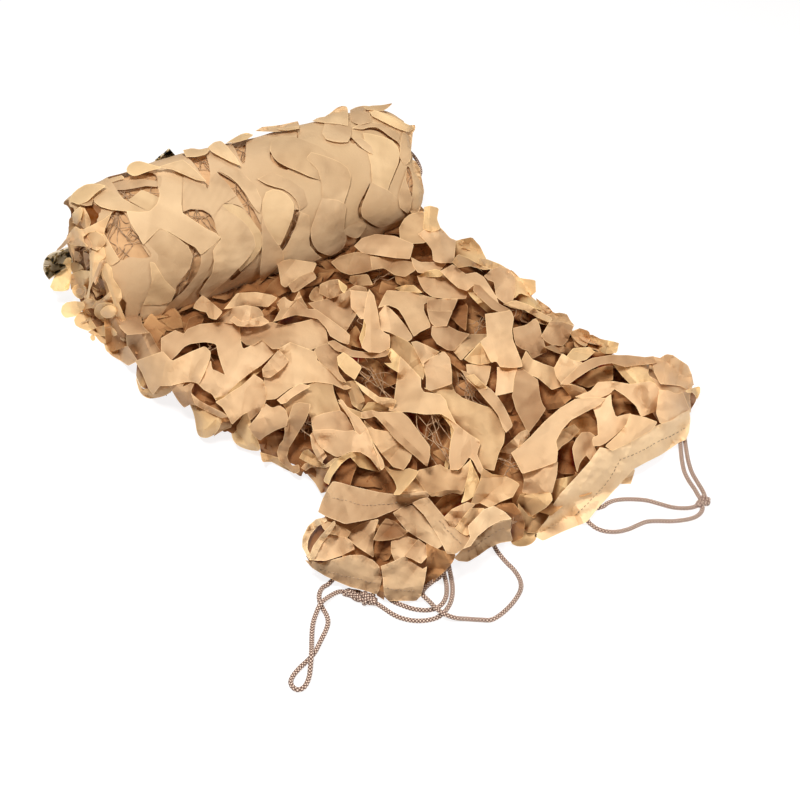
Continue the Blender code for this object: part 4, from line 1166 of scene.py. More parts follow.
     dict(creases=[((424, 392), (417, 410), 0.08)], slope=0.04)),
    ("L", -3, [(406, 412), (428, 412), (431, 425), (427, 441), (418, 428)], dict()),
    ("T", 3, [(424, 388), (440, 385), (452, 383), (455, 392), (463, 398), (476, 403), (491, 408), (500, 420), (505, 433), (504, 443), (499, 453), (494, 471), (483, 468), (476, 454), (480, 441), (468, 433), (456, 424),
              (447, 407), (440, 396)], dict(tint=0.25, dome=3, creases=[((456, 402), (454, 418), -0.10), ((470, 404), (500, 450), 0.05)], slope=0.05)),
    ("T", 8, [(426, 378), (423, 362), (432, 357), (444, 351), (450, 358), (452, 372), (452, 384), (440, 388), (430, 391), (426, 388)], dict(creases=[((425, 364), (442, 367), -0.12)], slope=0.05)),
    ("T", 12, [(461, 370), (467, 372), (480, 381), (492, 390), (498, 397), (504, 406), (510, 418), (513, 426), (506, 433), (503, 428), (498, 415), (492, 407), (484, 398), (476, 388), (467, 380)],
     dict(creases=[((464, 373), (507, 428), 0.18)], folds=1, slope=0.04)),
    ("T", 12, [(466, 376), (474, 374), (484, 384), (488, 389), (482, 389), (474, 384)], dict(tint=0.4, rim=2)),
    ("T", 11, [(497, 367), (508, 366), (518, 366), (514, 380), (513, 392), (505, 394), (495, 396), (497, 380)], dict(slope=0.04)),
    ("T", 9, [(514, 371), (522, 368), (530, 374), (538, 380), (540, 395), (542, 403), (546, 409), (538, 421), (528, 434), (523, 423), (516, 410), (512, 396), (514, 382)], dict(creases=[((515, 410), (542, 400), -0.10)], slope=0.05)),
    ("T", 12, [(511, 453), (520, 446), (530, 437), (545, 421), (560, 408), (575, 399), (590, 397), (606, 398), (600, 405), (586, 412), (571, 420), (562, 430), (556, 441), (558, 451), (557, 462), (541, 468), (522, 474), (516, 462)],
     dict(creases=[((520, 450), (590, 404), 0.10), ((556, 445), (535, 470), 0.06)], slope=0.04, dome=2)),
    ("T", 10, [(522, 473), (541, 467), (558, 461), (557, 475, -2), (552, 493, -4), (545, 493, -4), (530, 494, -4), (522, 493, -4), (524, 480)], dict(slope=0.05)),
    ("T", 4, [(520, 494), (535, 492), (551, 493), (553, 500), (546, 508), (530, 517), (520, 513), (516, 503)], dict(tint=0.5, dome=3)),
    ("T", 9, [(499, 452), (505, 446), (512, 440), (520, 432), (528, 429), (530, 435), (521, 445), (511, 454)], dict(tint=0.1, creases=[((512, 436), (517, 444), 0.2)])),
    ("L", 1, [(508, 430), (514, 420), (524, 424), (529, 432), (520, 434), (512, 438)], dict()),
    ("T", 11, [(483, 468), (492, 474), (505, 476), (512, 479), (520, 484), (513, 497), (500, 502), (490, 508), (480, 503), (470, 506), (474, 494), (479, 483)],
     dict(creases=[((484, 472), (505, 502), 0.08), ((519, 484), (492, 506), -0.08)], tint=0.15)),
    ("T", 8, [(470, 459), (474, 468), (479, 478), (480, 488), (474, 496), (467, 501), (461, 503), (464, 494), (466, 482), (469, 470)], dict(tint=0.7, creases=[((472, 462), (476, 494), 0.2)])),
    ("L", -2, [(435, 505), (442, 497), (450, 494), (462, 496), (463, 502), (458, 509), (450, 513), (444, 518), (439, 511)], dict(tint=0.5)),
    ("T", 9, [(428, 494), (440, 497), (452, 493), (463, 494), (460, 490), (446, 490), (436, 492)], dict(tint=0.3)),
    # between the plateau and the twine openings
    ("L", -1, [(333, 381), (345, 384), (352, 398), (358, 409), (350, 409), (342, 402), (336, 392)], dict()),
    ("T", 5, [(345, 382), (355, 380), (360, 390), (365, 400), (361, 411), (352, 405), (349, 394)], dict(tint=0.45, creases=[((350, 383), (358, 408), 0.25)])),
    ("T", 12, [(354, 380), (367, 388), (379, 397), (390, 398), (397, 400), (393, 409), (384, 406), (376, 402), (363, 392)], dict(tint=0.2, creases=[((357, 383), (394, 403), 0.2)])),
    ("T", 7, [(361, 411), (368, 402), (378, 402), (392, 405), (391, 411), (380, 411), (370, 412)], dict(tint=0.7, creases=[((364, 408), (390, 406), 0.15)])),
    ("T", 7, [(338, 402), (350, 408), (361, 412), (363, 419), (352, 414), (344, 411)], dict(tint=0.4)),
    # under the roll's front, left to right
    ("T", 5, [(277, 262), (290, 259), (305, 261), (317, 263), (313, 272), (300, 277), (290, 283), (286, 288), (281, 285), (279, 272)], dict(tint=0.1, slope=0.14)),
    ("T", 9, [(288, 285), (300, 276), (313, 271), (317, 278), (308, 284), (298, 291), (293, 293)], dict(dome=3, tint=0.1)),
    ("T", 5, [(331, 262), (340, 256), (355, 252), (368, 253), (375, 257), (373, 270), (362, 273), (350, 275), (341, 272), (336, 268)], dict(tint=0.2, slope=0.12)),
    ("T", 5, [(370, 256), (385, 258), (400, 260), (413, 262), (416, 270), (405, 277), (394, 275), (384, 268), (372, 270)], dict(tint=0.1, slope=0.12)),
    ("T", 2, [(350, 276), (368, 274), (373, 285), (355, 286), (349, 281)], dict(tint=0.2)),
    ("T", 8, [(354, 246), (362, 238), (376, 234), (395, 236), (414, 244), (410, 259), (395, 258), (375, 255), (362, 253)], dict(slope=0.06)),
    ("T", 7, [(319, 293), (320, 284), (330, 280), (338, 279, 3), (347, 286), (344, 294), (330, 299)], dict(tint=0.15)),
    ("T", 9, [(338, 279, 4), (348, 287), (344, 294), (340, 289)], dict(tint=0.9, folds=0)),
    ("T", 5, [(344, 292), (355, 285), (366, 287), (369, 295), (352, 293), (341, 300)], dict(tint=0.1)),
    ("T", 6, [(309, 296), (312, 290), (317, 286, 4), (321, 291), (324, 301), (316, 302), (310, 300)], dict(tint=0.2)),
    ("T", 6, [(308, 303), (322, 300), (336, 296), (351, 289), (353, 308), (357, 314), (350, 325), (346, 332), (338, 327), (325, 317), (315, 310)], dict(slope=0.06, creases=[((320, 301), (321, 313), 0.08)])),
    ("T", 9, [(281, 319), (288, 310), (298, 300), (308, 309), (316, 309), (330, 319), (345, 330), (350, 335), (349, 345), (340, 342), (330, 336), (326, 328), (318, 319), (308, 317), (296, 315)], dict(slope=0.05)),
    ("T", 9, [(350, 290), (369, 292), (367, 301), (364, 319), (360, 319), (356, 313), (351, 308)], dict(slope=0.06)),
    ("T", 13, [(369, 289, 4), (374, 295, 2), (378, 312), (380, 328), (385, 333), (390, 335), (390, 348), (380, 353), (368, 352), (361, 347), (365, 335), (366, 325), (363, 318), (366, 300)],
     dict(creases=[((370, 291), (371, 340), 0.16)], slope=0.04, folds=1)),
    ("L", -2, [(348, 334), (356, 325), (361, 334), (364, 346), (369, 351), (360, 348), (350, 345)], dict(tint=0.6)),
    ("T", 9, [(364, 317), (368, 325), (367, 335), (362, 347), (359, 338), (363, 326)], dict(tint=0.9, folds=0)),
    ("T", 11, [(327, 342), (334, 340), (342, 345), (352, 350), (365, 352), (380, 352), (388, 350), (391, 348), (387, 356), (376, 358), (365, 358), (352, 357), (343, 353), (335, 350)], dict(creases=[((330, 343), (386, 354), 0.12)], folds=1, slope=0.04)),
    ("T", 9, [(314, 350), (318, 346), (328, 343), (336, 349), (341, 354), (337, 362), (339, 372), (347, 383), (340, 381), (330, 371), (320, 363), (316, 356)], dict(dome=3, tint=0.1, slope=0.06)),
    ("T", 13, [(337, 357), (343, 352), (352, 358), (362, 367), (355, 380), (345, 373), (338, 365)], dict(tint=0.5, slope=0.05)),
    ("L", 1, [(351, 357), (365, 356), (378, 361), (384, 368), (383, 378), (378, 388), (374, 380), (371, 372), (362, 366)], dict(tint=0.8)),
    ("L", -1, [(384, 365), (398, 373), (397, 383), (388, 387), (379, 390), (384, 376)], dict(tint=0.5)),
    ("T", 9, [(386, 350), (391, 348), (401, 358), (399, 373), (389, 367), (384, 363), (392, 363), (388, 356)], dict(tint=0.8)),
    ("T", 9, [(379, 313), (385, 305, 4), (391, 309), (397, 315), (405, 325), (411, 334), (413, 338), (408, 342), (398, 337), (391, 333), (380, 330), (379, 320)], dict(creases=[((386, 307), (392, 332), 0.2)], slope=0.05)),
    ("T", 9, [(389, 334), (398, 336), (409, 342), (416, 350), (423, 364), (425, 372), (423, 380), (410, 367), (400, 357), (391, 348)], dict(tint=0.45, creases=[((394, 338), (420, 376), -0.10)])),
    ("T", 10, [(411, 342), (417, 341), (426, 345), (440, 352), (432, 357), (424, 363), (424, 368), (418, 356)], dict(slope=0.05)),
    ("L", 1, [(384, 306), (396, 307), (405, 313), (403, 319), (396, 315)], dict()),
    ("T", 6, [(378, 308), (383, 297), (387, 290), (400, 291), (415, 292), (426, 296), (440, 299), (458, 298), (456, 303), (430, 301), (424, 304), (424, 311), (429, 321), (431, 327), (420, 332), (414, 337), (409, 328), (404, 318), (398, 309), (388, 305)],
     dict(tint=0.1, dome=-2, slope=0.05)),
    ("T", 8, [(427, 300), (445, 299), (458, 299), (453, 311), (440, 312), (427, 311)], dict(slope=0.08)),
    ("T", 9, [(427, 310), (440, 311), (453, 311), (449, 320), (447, 326), (435, 327), (430, 322)], dict(slope=0.05)),
    ("L", 1, [(450, 316), (455, 302), (462, 298), (468, 306), (467, 320), (466, 331), (458, 325)], dict()),
    ("T", 7, [(432, 326), (447, 325), (458, 331), (470, 334), (463, 341), (454, 351), (447, 350), (437, 344), (431, 335)], dict(slope=0.05)),
    ("T", 4, [(453, 351), (470, 334), (488, 334), (481, 342), (470, 351), (461, 361)], dict(tint=0.2)),
    ("L", 0, [(440, 350), (452, 354), (462, 363), (470, 372), (474, 380), (462, 372), (450, 362)], dict()),
    ("L", 0, [(404, 333), (416, 336), (431, 328), (432, 336), (438, 344), (450, 351), (440, 351), (426, 345), (414, 340)], dict()),
    # the back right
    ("T", 0, [(424, 207, 64), (430, 205.5, 66), (439, 208, 64), (437, 219, 58), (441, 229, 52), (432, 232, 52), (423, 229, 54), (424, 218, 60)], dict(base=0, tint=0.6, creases=[((430, 207), (429, 230), 0.25)], folds=0)),
    ("T", 5, [(399, 228), (404, 219), (410, 214), (424, 211), (425, 228), (430, 236), (425, 243), (410, 244), (400, 240)], dict(tint=0.2, slope=0.06)),
    ("T", 7, [(418, 234), (425, 229), (440, 227), (445, 232), (450, 238), (456, 240), (454, 263), (440, 263), (433, 261), (432, 250), (426, 242)], dict(creases=[((444, 231), (436, 260), 0.10)], slope=0.05)),
    ("T", 4, [(454, 241), (462, 239), (472, 237), (480, 246), (485, 256), (487, 260), (478, 264), (468, 258), (458, 254), (453, 263)], dict(tint=0.6, slope=0.06)),
    ("T", 4, [(478, 258), (487, 259), (500, 264), (508, 269), (500, 271), (488, 268), (478, 264)], dict(tint=0.4)),
    ("T", 8, [(452, 262), (458, 254), (468, 258), (480, 265), (492, 269), (484, 270), (470, 266), (458, 268)], dict(tint=0.3, creases=[((456, 258), (488, 269), 0.2)])),
    ("T", 8, [(411, 257), (420, 262), (435, 262), (447, 263), (441, 270), (428, 273), (418, 273), (413, 266)], dict(slope=0.06)),
    ("T", 9, [(418, 276), (426, 271), (436, 269), (446, 272), (440, 277), (430, 277)], dict(tint=0.9)),
    ("T", 10, [(440, 271), (453, 264), (460, 270), (466, 274), (476, 272), (484, 277), (496, 296), (500, 306), (488, 297), (474, 285), (467, 291), (458, 288), (450, 281)],
     dict(creases=[((445, 271), (478, 284), 0.10)], slope=0.05)),
    ("T", 6, [(417, 276), (435, 275), (445, 275), (453, 282), (468, 291), (466, 299), (458, 299), (445, 299), (432, 297), (424, 291), (420, 284)], dict(tint=0.1, creases=[((434, 276), (438, 297), 0.12)], slope=0.06)),
    ("L", 2, [(395, 276), (405, 275), (416, 276), (421, 287), (424, 293), (416, 292), (404, 287), (396, 283)], dict(tint=0.4)),
    ("T", 8, [(395, 288), (405, 285), (414, 285), (423, 293), (410, 292), (400, 291)], dict(tint=0.6)),
    ("T", 13, [(474, 284), (480, 285), (490, 296), (500, 304), (511, 310), (501, 313), (492, 309), (482, 300), (473, 291)], dict(creases=[((476, 287), (508, 311), 0.12)], folds=0)),
    ("T", 6, [(466, 290), (474, 290), (484, 301), (499, 313), (488, 313), (480, 306), (472, 298)], dict(tint=0.7)),
    ("T", 7, [(484, 276), (492, 269), (500, 266), (509, 269), (515, 276), (516, 290), (513, 301), (505, 304), (496, 297), (494, 282), (488, 280)], dict(slope=0.06)),
    ("T", 6, [(503, 271), (512, 270), (520, 278), (535.5, 280), (536, 292), (530, 297), (520, 293), (514, 299), (512, 285), (503, 283)], dict(tint=0.5, slope=0.05)),
    ("T", 4, [(513, 299), (520, 292), (531, 296), (539, 303), (543, 311), (530, 307), (520, 303)], dict(tint=0.7)),
    ("T", 2, [(536, 298), (543, 303), (549, 307), (553, 312), (563, 316), (556, 321), (545, 317), (538, 309)], dict(tint=0.3)),
    ("T", 8, [(503, 304), (515, 300), (530, 305), (540, 312), (553, 318), (550, 323), (536, 317), (524, 310), (512, 308)], dict(tint=0.2, creases=[((506, 304), (548, 320), 0.15)])),
    ("T", 13, [(485, 314), (500, 312), (511, 310), (514, 318), (512, 330), (513, 340), (518, 352), (521, 360), (523, 367), (512, 368), (500, 367), (496, 361), (491, 363), (485, 351), (480, 342), (487, 336)],
     dict(creases=[((500, 330), (504, 366), 0.08), ((488, 335), (500, 362), -0.06)], slope=0.04)),
    ("T", 9, [(464, 359), (480, 342), (485, 350), (491, 363), (480, 365), (470, 363)], dict(tint=0.5)),
    ("T", 8, [(466, 364), (480, 365), (491, 366), (489, 378), (486, 386), (475, 382), (467, 373)], dict(tint=0.1, slope=0.06)),
    ("L", 2, [(486, 386), (489, 374), (497, 370), (497, 384), (496, 396), (490, 392)], dict()),
    ("T", 9, [(513, 328), (526, 325), (535, 318), (539, 323), (542, 335), (547, 352), (540, 355), (532, 359), (528, 351), (522, 349), (516, 345), (514, 338)], dict(slope=0.05)),
    ("T", 9, [(541, 336), (550, 321), (560, 321), (570, 324), (574, 326), (568, 340), (563, 346), (552, 345), (545, 341)], dict(slope=0.05)),
    ("T", 6, [(538, 318), (548, 314), (560, 312.5), (567, 314), (570, 320), (575, 326), (565, 323), (552, 322), (543, 325)], dict(tint=0.3)),
    ("T", 6, [(569, 332), (580, 328), (589, 331), (591, 338), (586, 347), (579, 344), (573, 338)], dict(tint=0.2)),
    ("T", 2, [(584, 335), (592, 334.5), (601, 339), (612, 341), (619, 343), (617, 353), (605, 354), (594, 348), (587, 346)], dict(tint=0.6)),
    ("L", 2, [(564, 346), (570, 334), (576, 340), (579, 346), (572, 350)], dict()),
    ("L", 3, [(582, 349), (596, 351.5), (612, 354.5), (628, 356), (640, 358), (642, 366), (625, 368), (600, 368), (586, 364), (572, 368), (574, 354)], dict(tint=0.4, folds=1)),
    ("T", 7, [(544, 347), (558, 344), (572, 350), (566, 358), (560, 354), (552, 351)], dict(tint=0.2, creases=[((546, 348), (568, 354), 0.2)])),
    ("T", 10, [(565, 358), (573, 348), (590, 347), (595, 352), (586, 360), (576, 362)], dict(tint=0.5, creases=[((580, 348), (577, 361), 0.1)])),
    ("T", 10, [(554, 368), (562, 353, 2), (572, 360), (583, 362), (577, 371), (569, 380), (562, 385), (556, 377)], dict(slope=0.05)),
    ("T", 6, [(521, 361), (526, 350), (532, 359), (544, 364), (556, 368), (560, 378), (563, 386), (552, 390), (545, 384), (538, 378), (528, 374), (522, 369)], dict(tint=0.2, slope=0.14, folds=3)),
    ("L", 1, [(538, 378), (550, 388), (566, 390), (572, 398), (560, 408), (547, 410), (541, 402), (539, 392)], dict()),
    ("T", 9, [(560, 384), (572, 384), (584, 388), (590, 395), (580, 399), (572, 398), (566, 391)], dict(tint=0.1, creases=[((562, 385), (588, 395), 0.15)])),
    # the arch and the right end; their tones paint most of these leaves lighter as light and a few darker as shade
    ("T", 16, [(560, 384), (570, 374), (580, 364), (592, 358), (610, 355), (628, 355), (645, 357), (654, 356), (657, 363), (650, 364), (640, 365), (625, 367), (612, 363), (600, 365), (588, 371), (576, 379), (568, 385)],
     dict(creases=[((566, 380), (620, 358), 0.06)], slope=0.04)),
    ("T", 10, [(612, 363), (625, 367), (640, 365), (650, 364), (648, 374), (656, 383), (645, 383), (630, 384), (622, 376)], dict(tint=0.5)),
    ("L", 4, [(570, 384), (580, 375), (592, 370), (604, 366), (613, 366), (613, 380), (600, 383), (588, 388), (578, 384)], dict(tint=0.5)),
    ("T", 15, [(652, 356), (660, 358), (666, 354), (673, 355), (680, 360), (688, 365), (692, 375), (694, 385), (688, 390), (680, 386), (672, 385), (660, 384), (654, 372)],
     dict(creases=[((667, 355), (663, 384), 0.30), ((681, 362), (676, 385), -0.2)], slope=0.08, tone=0.16)),
    ("T", 10, [(598, 382), (613, 381), (630, 384), (650, 381), (656, 384), (661, 391), (660, 402), (654, 412), (641, 417), (636, 406), (625, 396), (614, 389), (610, 394), (600, 398), (588, 399), (574, 397), (590, 391)],
     dict(slope=0.10, tone=0.14)),
    ("T", 10, [(659, 390), (668, 390), (676, 394), (683, 392), (690, 410), (680, 419), (672, 421), (660, 424), (656, 413)], dict(slope=0.12, tone=0.16, creases=[((672, 392), (668, 420), 0.15)])),
    ("L", 9, [(684, 390), (690, 389), (697, 392), (696, 401), (690, 411), (686, 412), (684, 400)], dict(tone=-0.35)),
    ("T", 11, [(685, 391), (692, 388), (700, 386), (700.5, 392), (697, 400), (695.5, 396), (692, 392), (688, 393)], dict(tint=0.7, tone=0.12, folds=1)),
    ("T", 8, [(650, 376), (662, 383), (680, 384), (693, 384), (690, 396), (691, 412), (676, 421), (660, 424), (652, 412), (648, 392)], dict(tone=0.10)),
    ("T", 6, [(640, 366), (650, 366), (654, 372), (660, 384), (650, 385), (642, 380), (638, 372)], dict(tone=-0.12, tint=0.4)),
    ("T", 11, [(604, 399), (611, 394), (612, 405), (616, 417), (622, 415), (632, 413), (627, 424), (616, 435), (606, 443), (600, 446), (593, 446), (592, 438), (598, 435), (597, 420), (593, 408)],
     dict(creases=[((608, 398), (604, 442), 0.05)], slope=0.03, noise=0.1, tone=0.12)),
    ("T", 12, [(630, 414), (645, 417), (658, 422), (651, 431), (640, 437), (625, 445), (612, 451), (605, 446), (618, 434), (626, 425)], dict(slope=0.08, tone=0.14)),
    ("L", 2, [(566, 430), (572, 420), (586, 410), (596, 408), (600, 420), (598, 436), (588, 432), (576, 438)], dict(tint=0.5)),
    ("T", 9, [(590, 432), (597, 437), (594, 446), (600, 458), (592, 463), (586, 455), (580, 463), (577, 473), (574, 460), (572, 448), (576, 439), (582, 432)], dict(slope=0.06)),
    ("T", 7, [(556, 440), (562, 430), (574, 424), (580, 430), (570, 441), (562, 446), (557, 452)], dict(tint=0.2)),
    ("L", -4, [(557, 452), (566, 444), (574, 440), (579, 462), (577, 474), (562, 474), (556, 470)], dict()),
    ("T", 0, [(552, 480), (562, 478), (577, 475), (576, 485), (572, 494), (562, 500), (551, 506), (549, 494)], dict(tint=0.7)),
    ("T", 5, [(518, 503), (530, 517), (546, 508), (552, 503), (546, 522), (536, 533), (527, 533), (520, 524), (518, 512)], dict(tint=0.5, creases=[((530, 516), (528, 532), 0.2)])),
    ("T", -2, [(511, 542), (518, 534), (526, 529), (535, 530), (536, 539), (529, 545), (520, 546.5), (514, 545)], dict(tint=0.6, dome=3, round_it=True)),
    ("L", -2, [(527, 534), (536, 524), (545, 510), (553, 503), (552, 513), (546, 526), (537, 533)], dict()),
    # the sewn edge, right bunch
    ("B", 8, [(552, 506), (560, 494), (575, 478), (590, 461), (600, 447), (612, 450), (625, 444), (640, 435), (655, 426), (672, 420), (682, 413), (689.5, 410), (690.5, 420), (689, 432, -3), (686, 440, -4), (680, 442, -5), (661, 455, -5),
              (645, 463, -5), (634, 469, -5), (621, 483, -6), (610, 495, -6), (598, 508, -7), (587, 522, -8), (562, 532, -8), (543, 541, -9), (534, 536, -8), (538, 530, -4), (548, 518)],
     dict(creases=[((600, 455), (560, 524), 0.05), ((622, 450), (634, 466), 0.10), ((640, 440), (690, 425), 0.05)], folds=3, slope=0.06, noise=0.9)),
    ("B", 2, [(618, 470), (632, 466), (635, 470), (631, 484), (620, 484), (624, 476)], dict()),
    # cloth behind the left bunch, painted darker with tone as shade
    ("L", 0, [(306, 556, 14), (316, 548, 24), (330, 546, 28), (345, 548, 30), (352, 560, 26), (340, 566, 18), (322, 567, 10), (310, 563, 10)], dict(base=0, tone=-0.2)),
    ("L", 0, [(494, 507, 34), (502, 503, 40), (514, 503, 40), (521, 512, 36), (525, 524, 26), (523, 538, 10), (512, 543, 6), (506, 534, 14), (506, 520, 28)], dict(base=0, tone=-0.15)),
    ("L", 0, [(466, 536, 24), (480, 522, 32), (496, 516, 38), (508, 516, 38), (504, 524, 34), (488, 533, 28), (474, 544, 22)], dict(base=0, tone=-0.25)),
    # the sewn edge, left bunch; its tones paint most pieces darker as shade and a few lighter as light
    ("B", 0, [(318, 512, 50), (322, 500, 53), (328, 488, 56), (333, 481, 58), (342, 483, 58), (352, 486, 58), (365, 489, 58), (378, 492, 58), (392, 494, 58), (410, 493, 58), (427, 491, 58), (430, 496, 56),
              (416, 502, 54), (400, 508, 52), (388, 513, 50), (376, 518, 48), (362, 521, 48), (345, 524, 47), (335, 520, 48), (325, 516, 49)],
     dict(base=0, creases=[((340, 485), (350, 522), 0.10), ((372, 492), (395, 510), -0.06)], folds=3, slope=0.07, noise=0.9)),
    ("B", 0, [(393, 513, 44), (402, 507, 46), (412, 505, 47), (424, 512, 46), (433, 522, 44), (441, 533, 42), (446, 542, 40), (438, 549, 38), (430, 545, 37), (418, 538, 37), (406, 530, 38), (398, 520, 41)], dict(base=0, slope=0.08)),
    ("B", 0, [(412, 503, 50), (420, 499, 52), (428, 497, 53), (437, 508, 50), (447, 520, 48), (457, 528, 46), (469, 536, 44), (471, 540, 43), (464, 548, 40), (456, 554, 37), (447, 554, 36), (440, 540, 40), (434, 530, 43), (424, 515, 47)],
     dict(base=0, creases=[((420, 502), (460, 550), 0.08)], folds=2, slope=0.06, noise=0.8, tone=-0.24)),
    ("T", 0, [(444, 517, 50), (452, 509, 53), (467, 502, 54), (476, 504, 52), (468, 512, 50), (461, 520, 48), (453, 529, 46)], dict(base=0, creases=[((446, 516), (472, 504), 0.15)])),
    ("B", 0, [(468, 526, 47), (484, 509, 52), (494, 506, 53), (505, 512, 52), (512, 519, 49), (500, 521, 47), (489, 527, 44), (477, 537, 41), (471, 546, 38), (463, 549, 38), (470, 538, 42)],
     dict(base=0, slope=0.05, creases=[((480, 514), (470, 544), 0.08)])),
    ("T", 0, [(455, 528, 40), (462, 518, 42), (470, 508, 44), (484, 508, 44), (486, 514, 42), (476, 524, 41), (468, 536, 39), (462, 534, 39)], dict(base=0, tint=0.2, creases=[((468, 512), (476, 524), 0.2)])),
    ("B", 0, [(454, 558, 22), (462, 549, 30), (475, 539, 35), (488, 529, 39), (498, 522, 42), (512, 519, 44), (510, 530, 34), (513, 541, 22), (500, 543, 20), (489, 548, 14), (478, 556, 8), (468, 562, 4), (458, 561, 10)],
     dict(base=0, creases=[((486, 528), (482, 552), 0.15)], folds=4, slope=0.16, tint=0.1, tone=-0.30)),
    ("L", 0, [(426, 543, 24), (440, 550, 28), (456, 554, 30), (453, 562, 22), (445, 571, 14), (435, 580, 8), (425, 589, 3), (421, 593, 1), (423, 575, 12), (427, 560, 18)], dict(base=0)),
    ("B", 0, [(305, 560, 20), (320, 563, 26), (335, 559, 32), (350, 555, 38), (362, 555, 40), (373, 560, 38), (379, 566, 34), (382, 578, 22), (379, 591, 8), (376, 594.5, 2), (366, 591, 2), (350, 587, 2), (338, 582, 2), (325, 576, 4), (312, 568, 10)],
     dict(base=0, creases=[((345, 558), (352, 586), 0.10), ((312, 562), (378, 580), 0.06)], folds=3, slope=0.08, noise=0.9, tone=-0.12)),
    ("B", 0, [(381, 566, 36), (392, 562, 39), (404, 556, 43), (413, 563, 40), (423, 569, 36), (427, 566, 37), (425, 580, 22), (421, 596, 4), (416, 601, 1), (400, 601, 1), (388, 601, 1), (384, 594, 5), (383, 580, 20)],
     dict(base=0, creases=[((385, 588), (422, 590), 0.10)], folds=3, slope=0.07, noise=0.9, tone=-0.16)),
    ("L", 0, [(376, 566, 30), (384, 566, 30), (386, 580, 16), (384, 600, 0), (376, 595, 0), (380, 580, 14)], dict(base=0)),
    ("L", 0, [(305, 548, 22), (309, 535, 28), (318, 524, 34), (330, 521, 38), (334, 530, 34), (322, 546, 28), (314, 558, 20)], dict(base=0, tone=-0.35)),
    ("B", 0, [(302, 547, 25), (302.5, 537, 32), (308, 526, 38), (316, 519, 42), (326, 517, 44), (327, 521, 43), (318, 526, 39), (311, 534, 34), (308, 541, 30), (307.5, 549, 26), (311, 556, 22), (309, 560, 20)],
     dict(base=0, tint=0.5, tone=0.16, folds=1)),
    ("B", 0, [(309.5, 556, 26), (313, 546, 32), (321, 535, 38), (330, 525, 43), (334, 520, 45), (336, 524, 44), (330, 533, 40), (321, 545, 35), (317, 554, 29), (313, 561, 25)], dict(base=0, tint=0.4, tone=0.06, folds=1)),
    ("T", 0, [(309, 560, 27), (318, 546, 35), (330, 535, 41), (345, 537, 43), (351, 540, 42), (355, 549, 38), (341, 556, 33), (325, 561, 27)], dict(base=0, slope=0.06)),
    ("T", 0, [(320, 520, 43), (330, 522, 44), (345, 528, 44), (351, 532, 43), (346, 540, 40), (336, 535, 40), (328, 534, 40), (322, 527, 41)], dict(base=0, tint=0.1)),
    ("T", 0, [(348, 533, 43), (358, 525, 46), (368, 521, 47), (379, 519, 47), (375, 530, 43), (373, 545, 36), (374, 558, 30), (365, 552, 33), (356, 546, 36), (350, 541, 39)], dict(base=0, tint=0.1, dome=2)),
    ("T", 0, [(373, 540, 42), (379, 527, 46), (386, 518, 49), (396, 522, 48), (405, 530, 45), (409, 531, 44), (402, 537, 41), (390, 540, 39), (380, 541, 40)], dict(base=0, tint=0.1, dome=2)),
    ("L", 0, [(376, 541, 30), (394, 540, 32), (394, 550, 27), (388, 560, 22), (378, 562, 20), (373, 552, 24)], dict(base=0)),
    ("T", 0, [(391, 541, 38), (404, 535, 43), (412, 538, 42), (421, 541, 40), (417, 546, 38), (410, 553, 35), (404, 557, 33), (395, 562, 29), (391, 552, 33)], dict(base=0, slope=0.08)),
    ("T", 0, [(404, 556, 36), (411, 547, 41), (418, 539, 45), (427, 546, 40), (428, 556, 36), (421, 564, 32), (412, 559, 35)], dict(base=0, slope=0.08, creases=[((418, 541), (422, 562), 0.2)])),
]

SOUPS = {"A": TOP, "T": TOP, "L": LOW, "B": BAND}


def rank(row):
    """How high a leaf lies in the pile, for the order they are laid in."""
    kind, level, outline, opt = row[1]
    if "base" in opt:
        mid = np.array([[p[0], p[1]] for p in outline], float).mean(0)[None]
        level = np.mean([p[2] if len(p) > 2 else 0.0 for p in outline]) - float(heap_z(mid)[0])
    return level + {"L": -8.0, "A": 0.0, "T": 0.0, "B": 3.0}[kind]


for _n, (_kind, _level, _outline, _opt) in sorted(enumerate(PILE), key=rank):
    _spread = _level if "base" in _opt else (1.3 * _level - 2.0 if _kind != "L" else _level - 6.0)
    # painted light: by default the right bunch of the sewn edge is painted much lighter, the left a little darker
    if _kind == "B":
        _opt = dict(_opt, tone=_opt.get("tone", -0.02 if _outline[0][0] < 510 else 0.36))
    leaf(SOUPS[_kind], _spread, _outline, seed=100 + _n, **_opt)

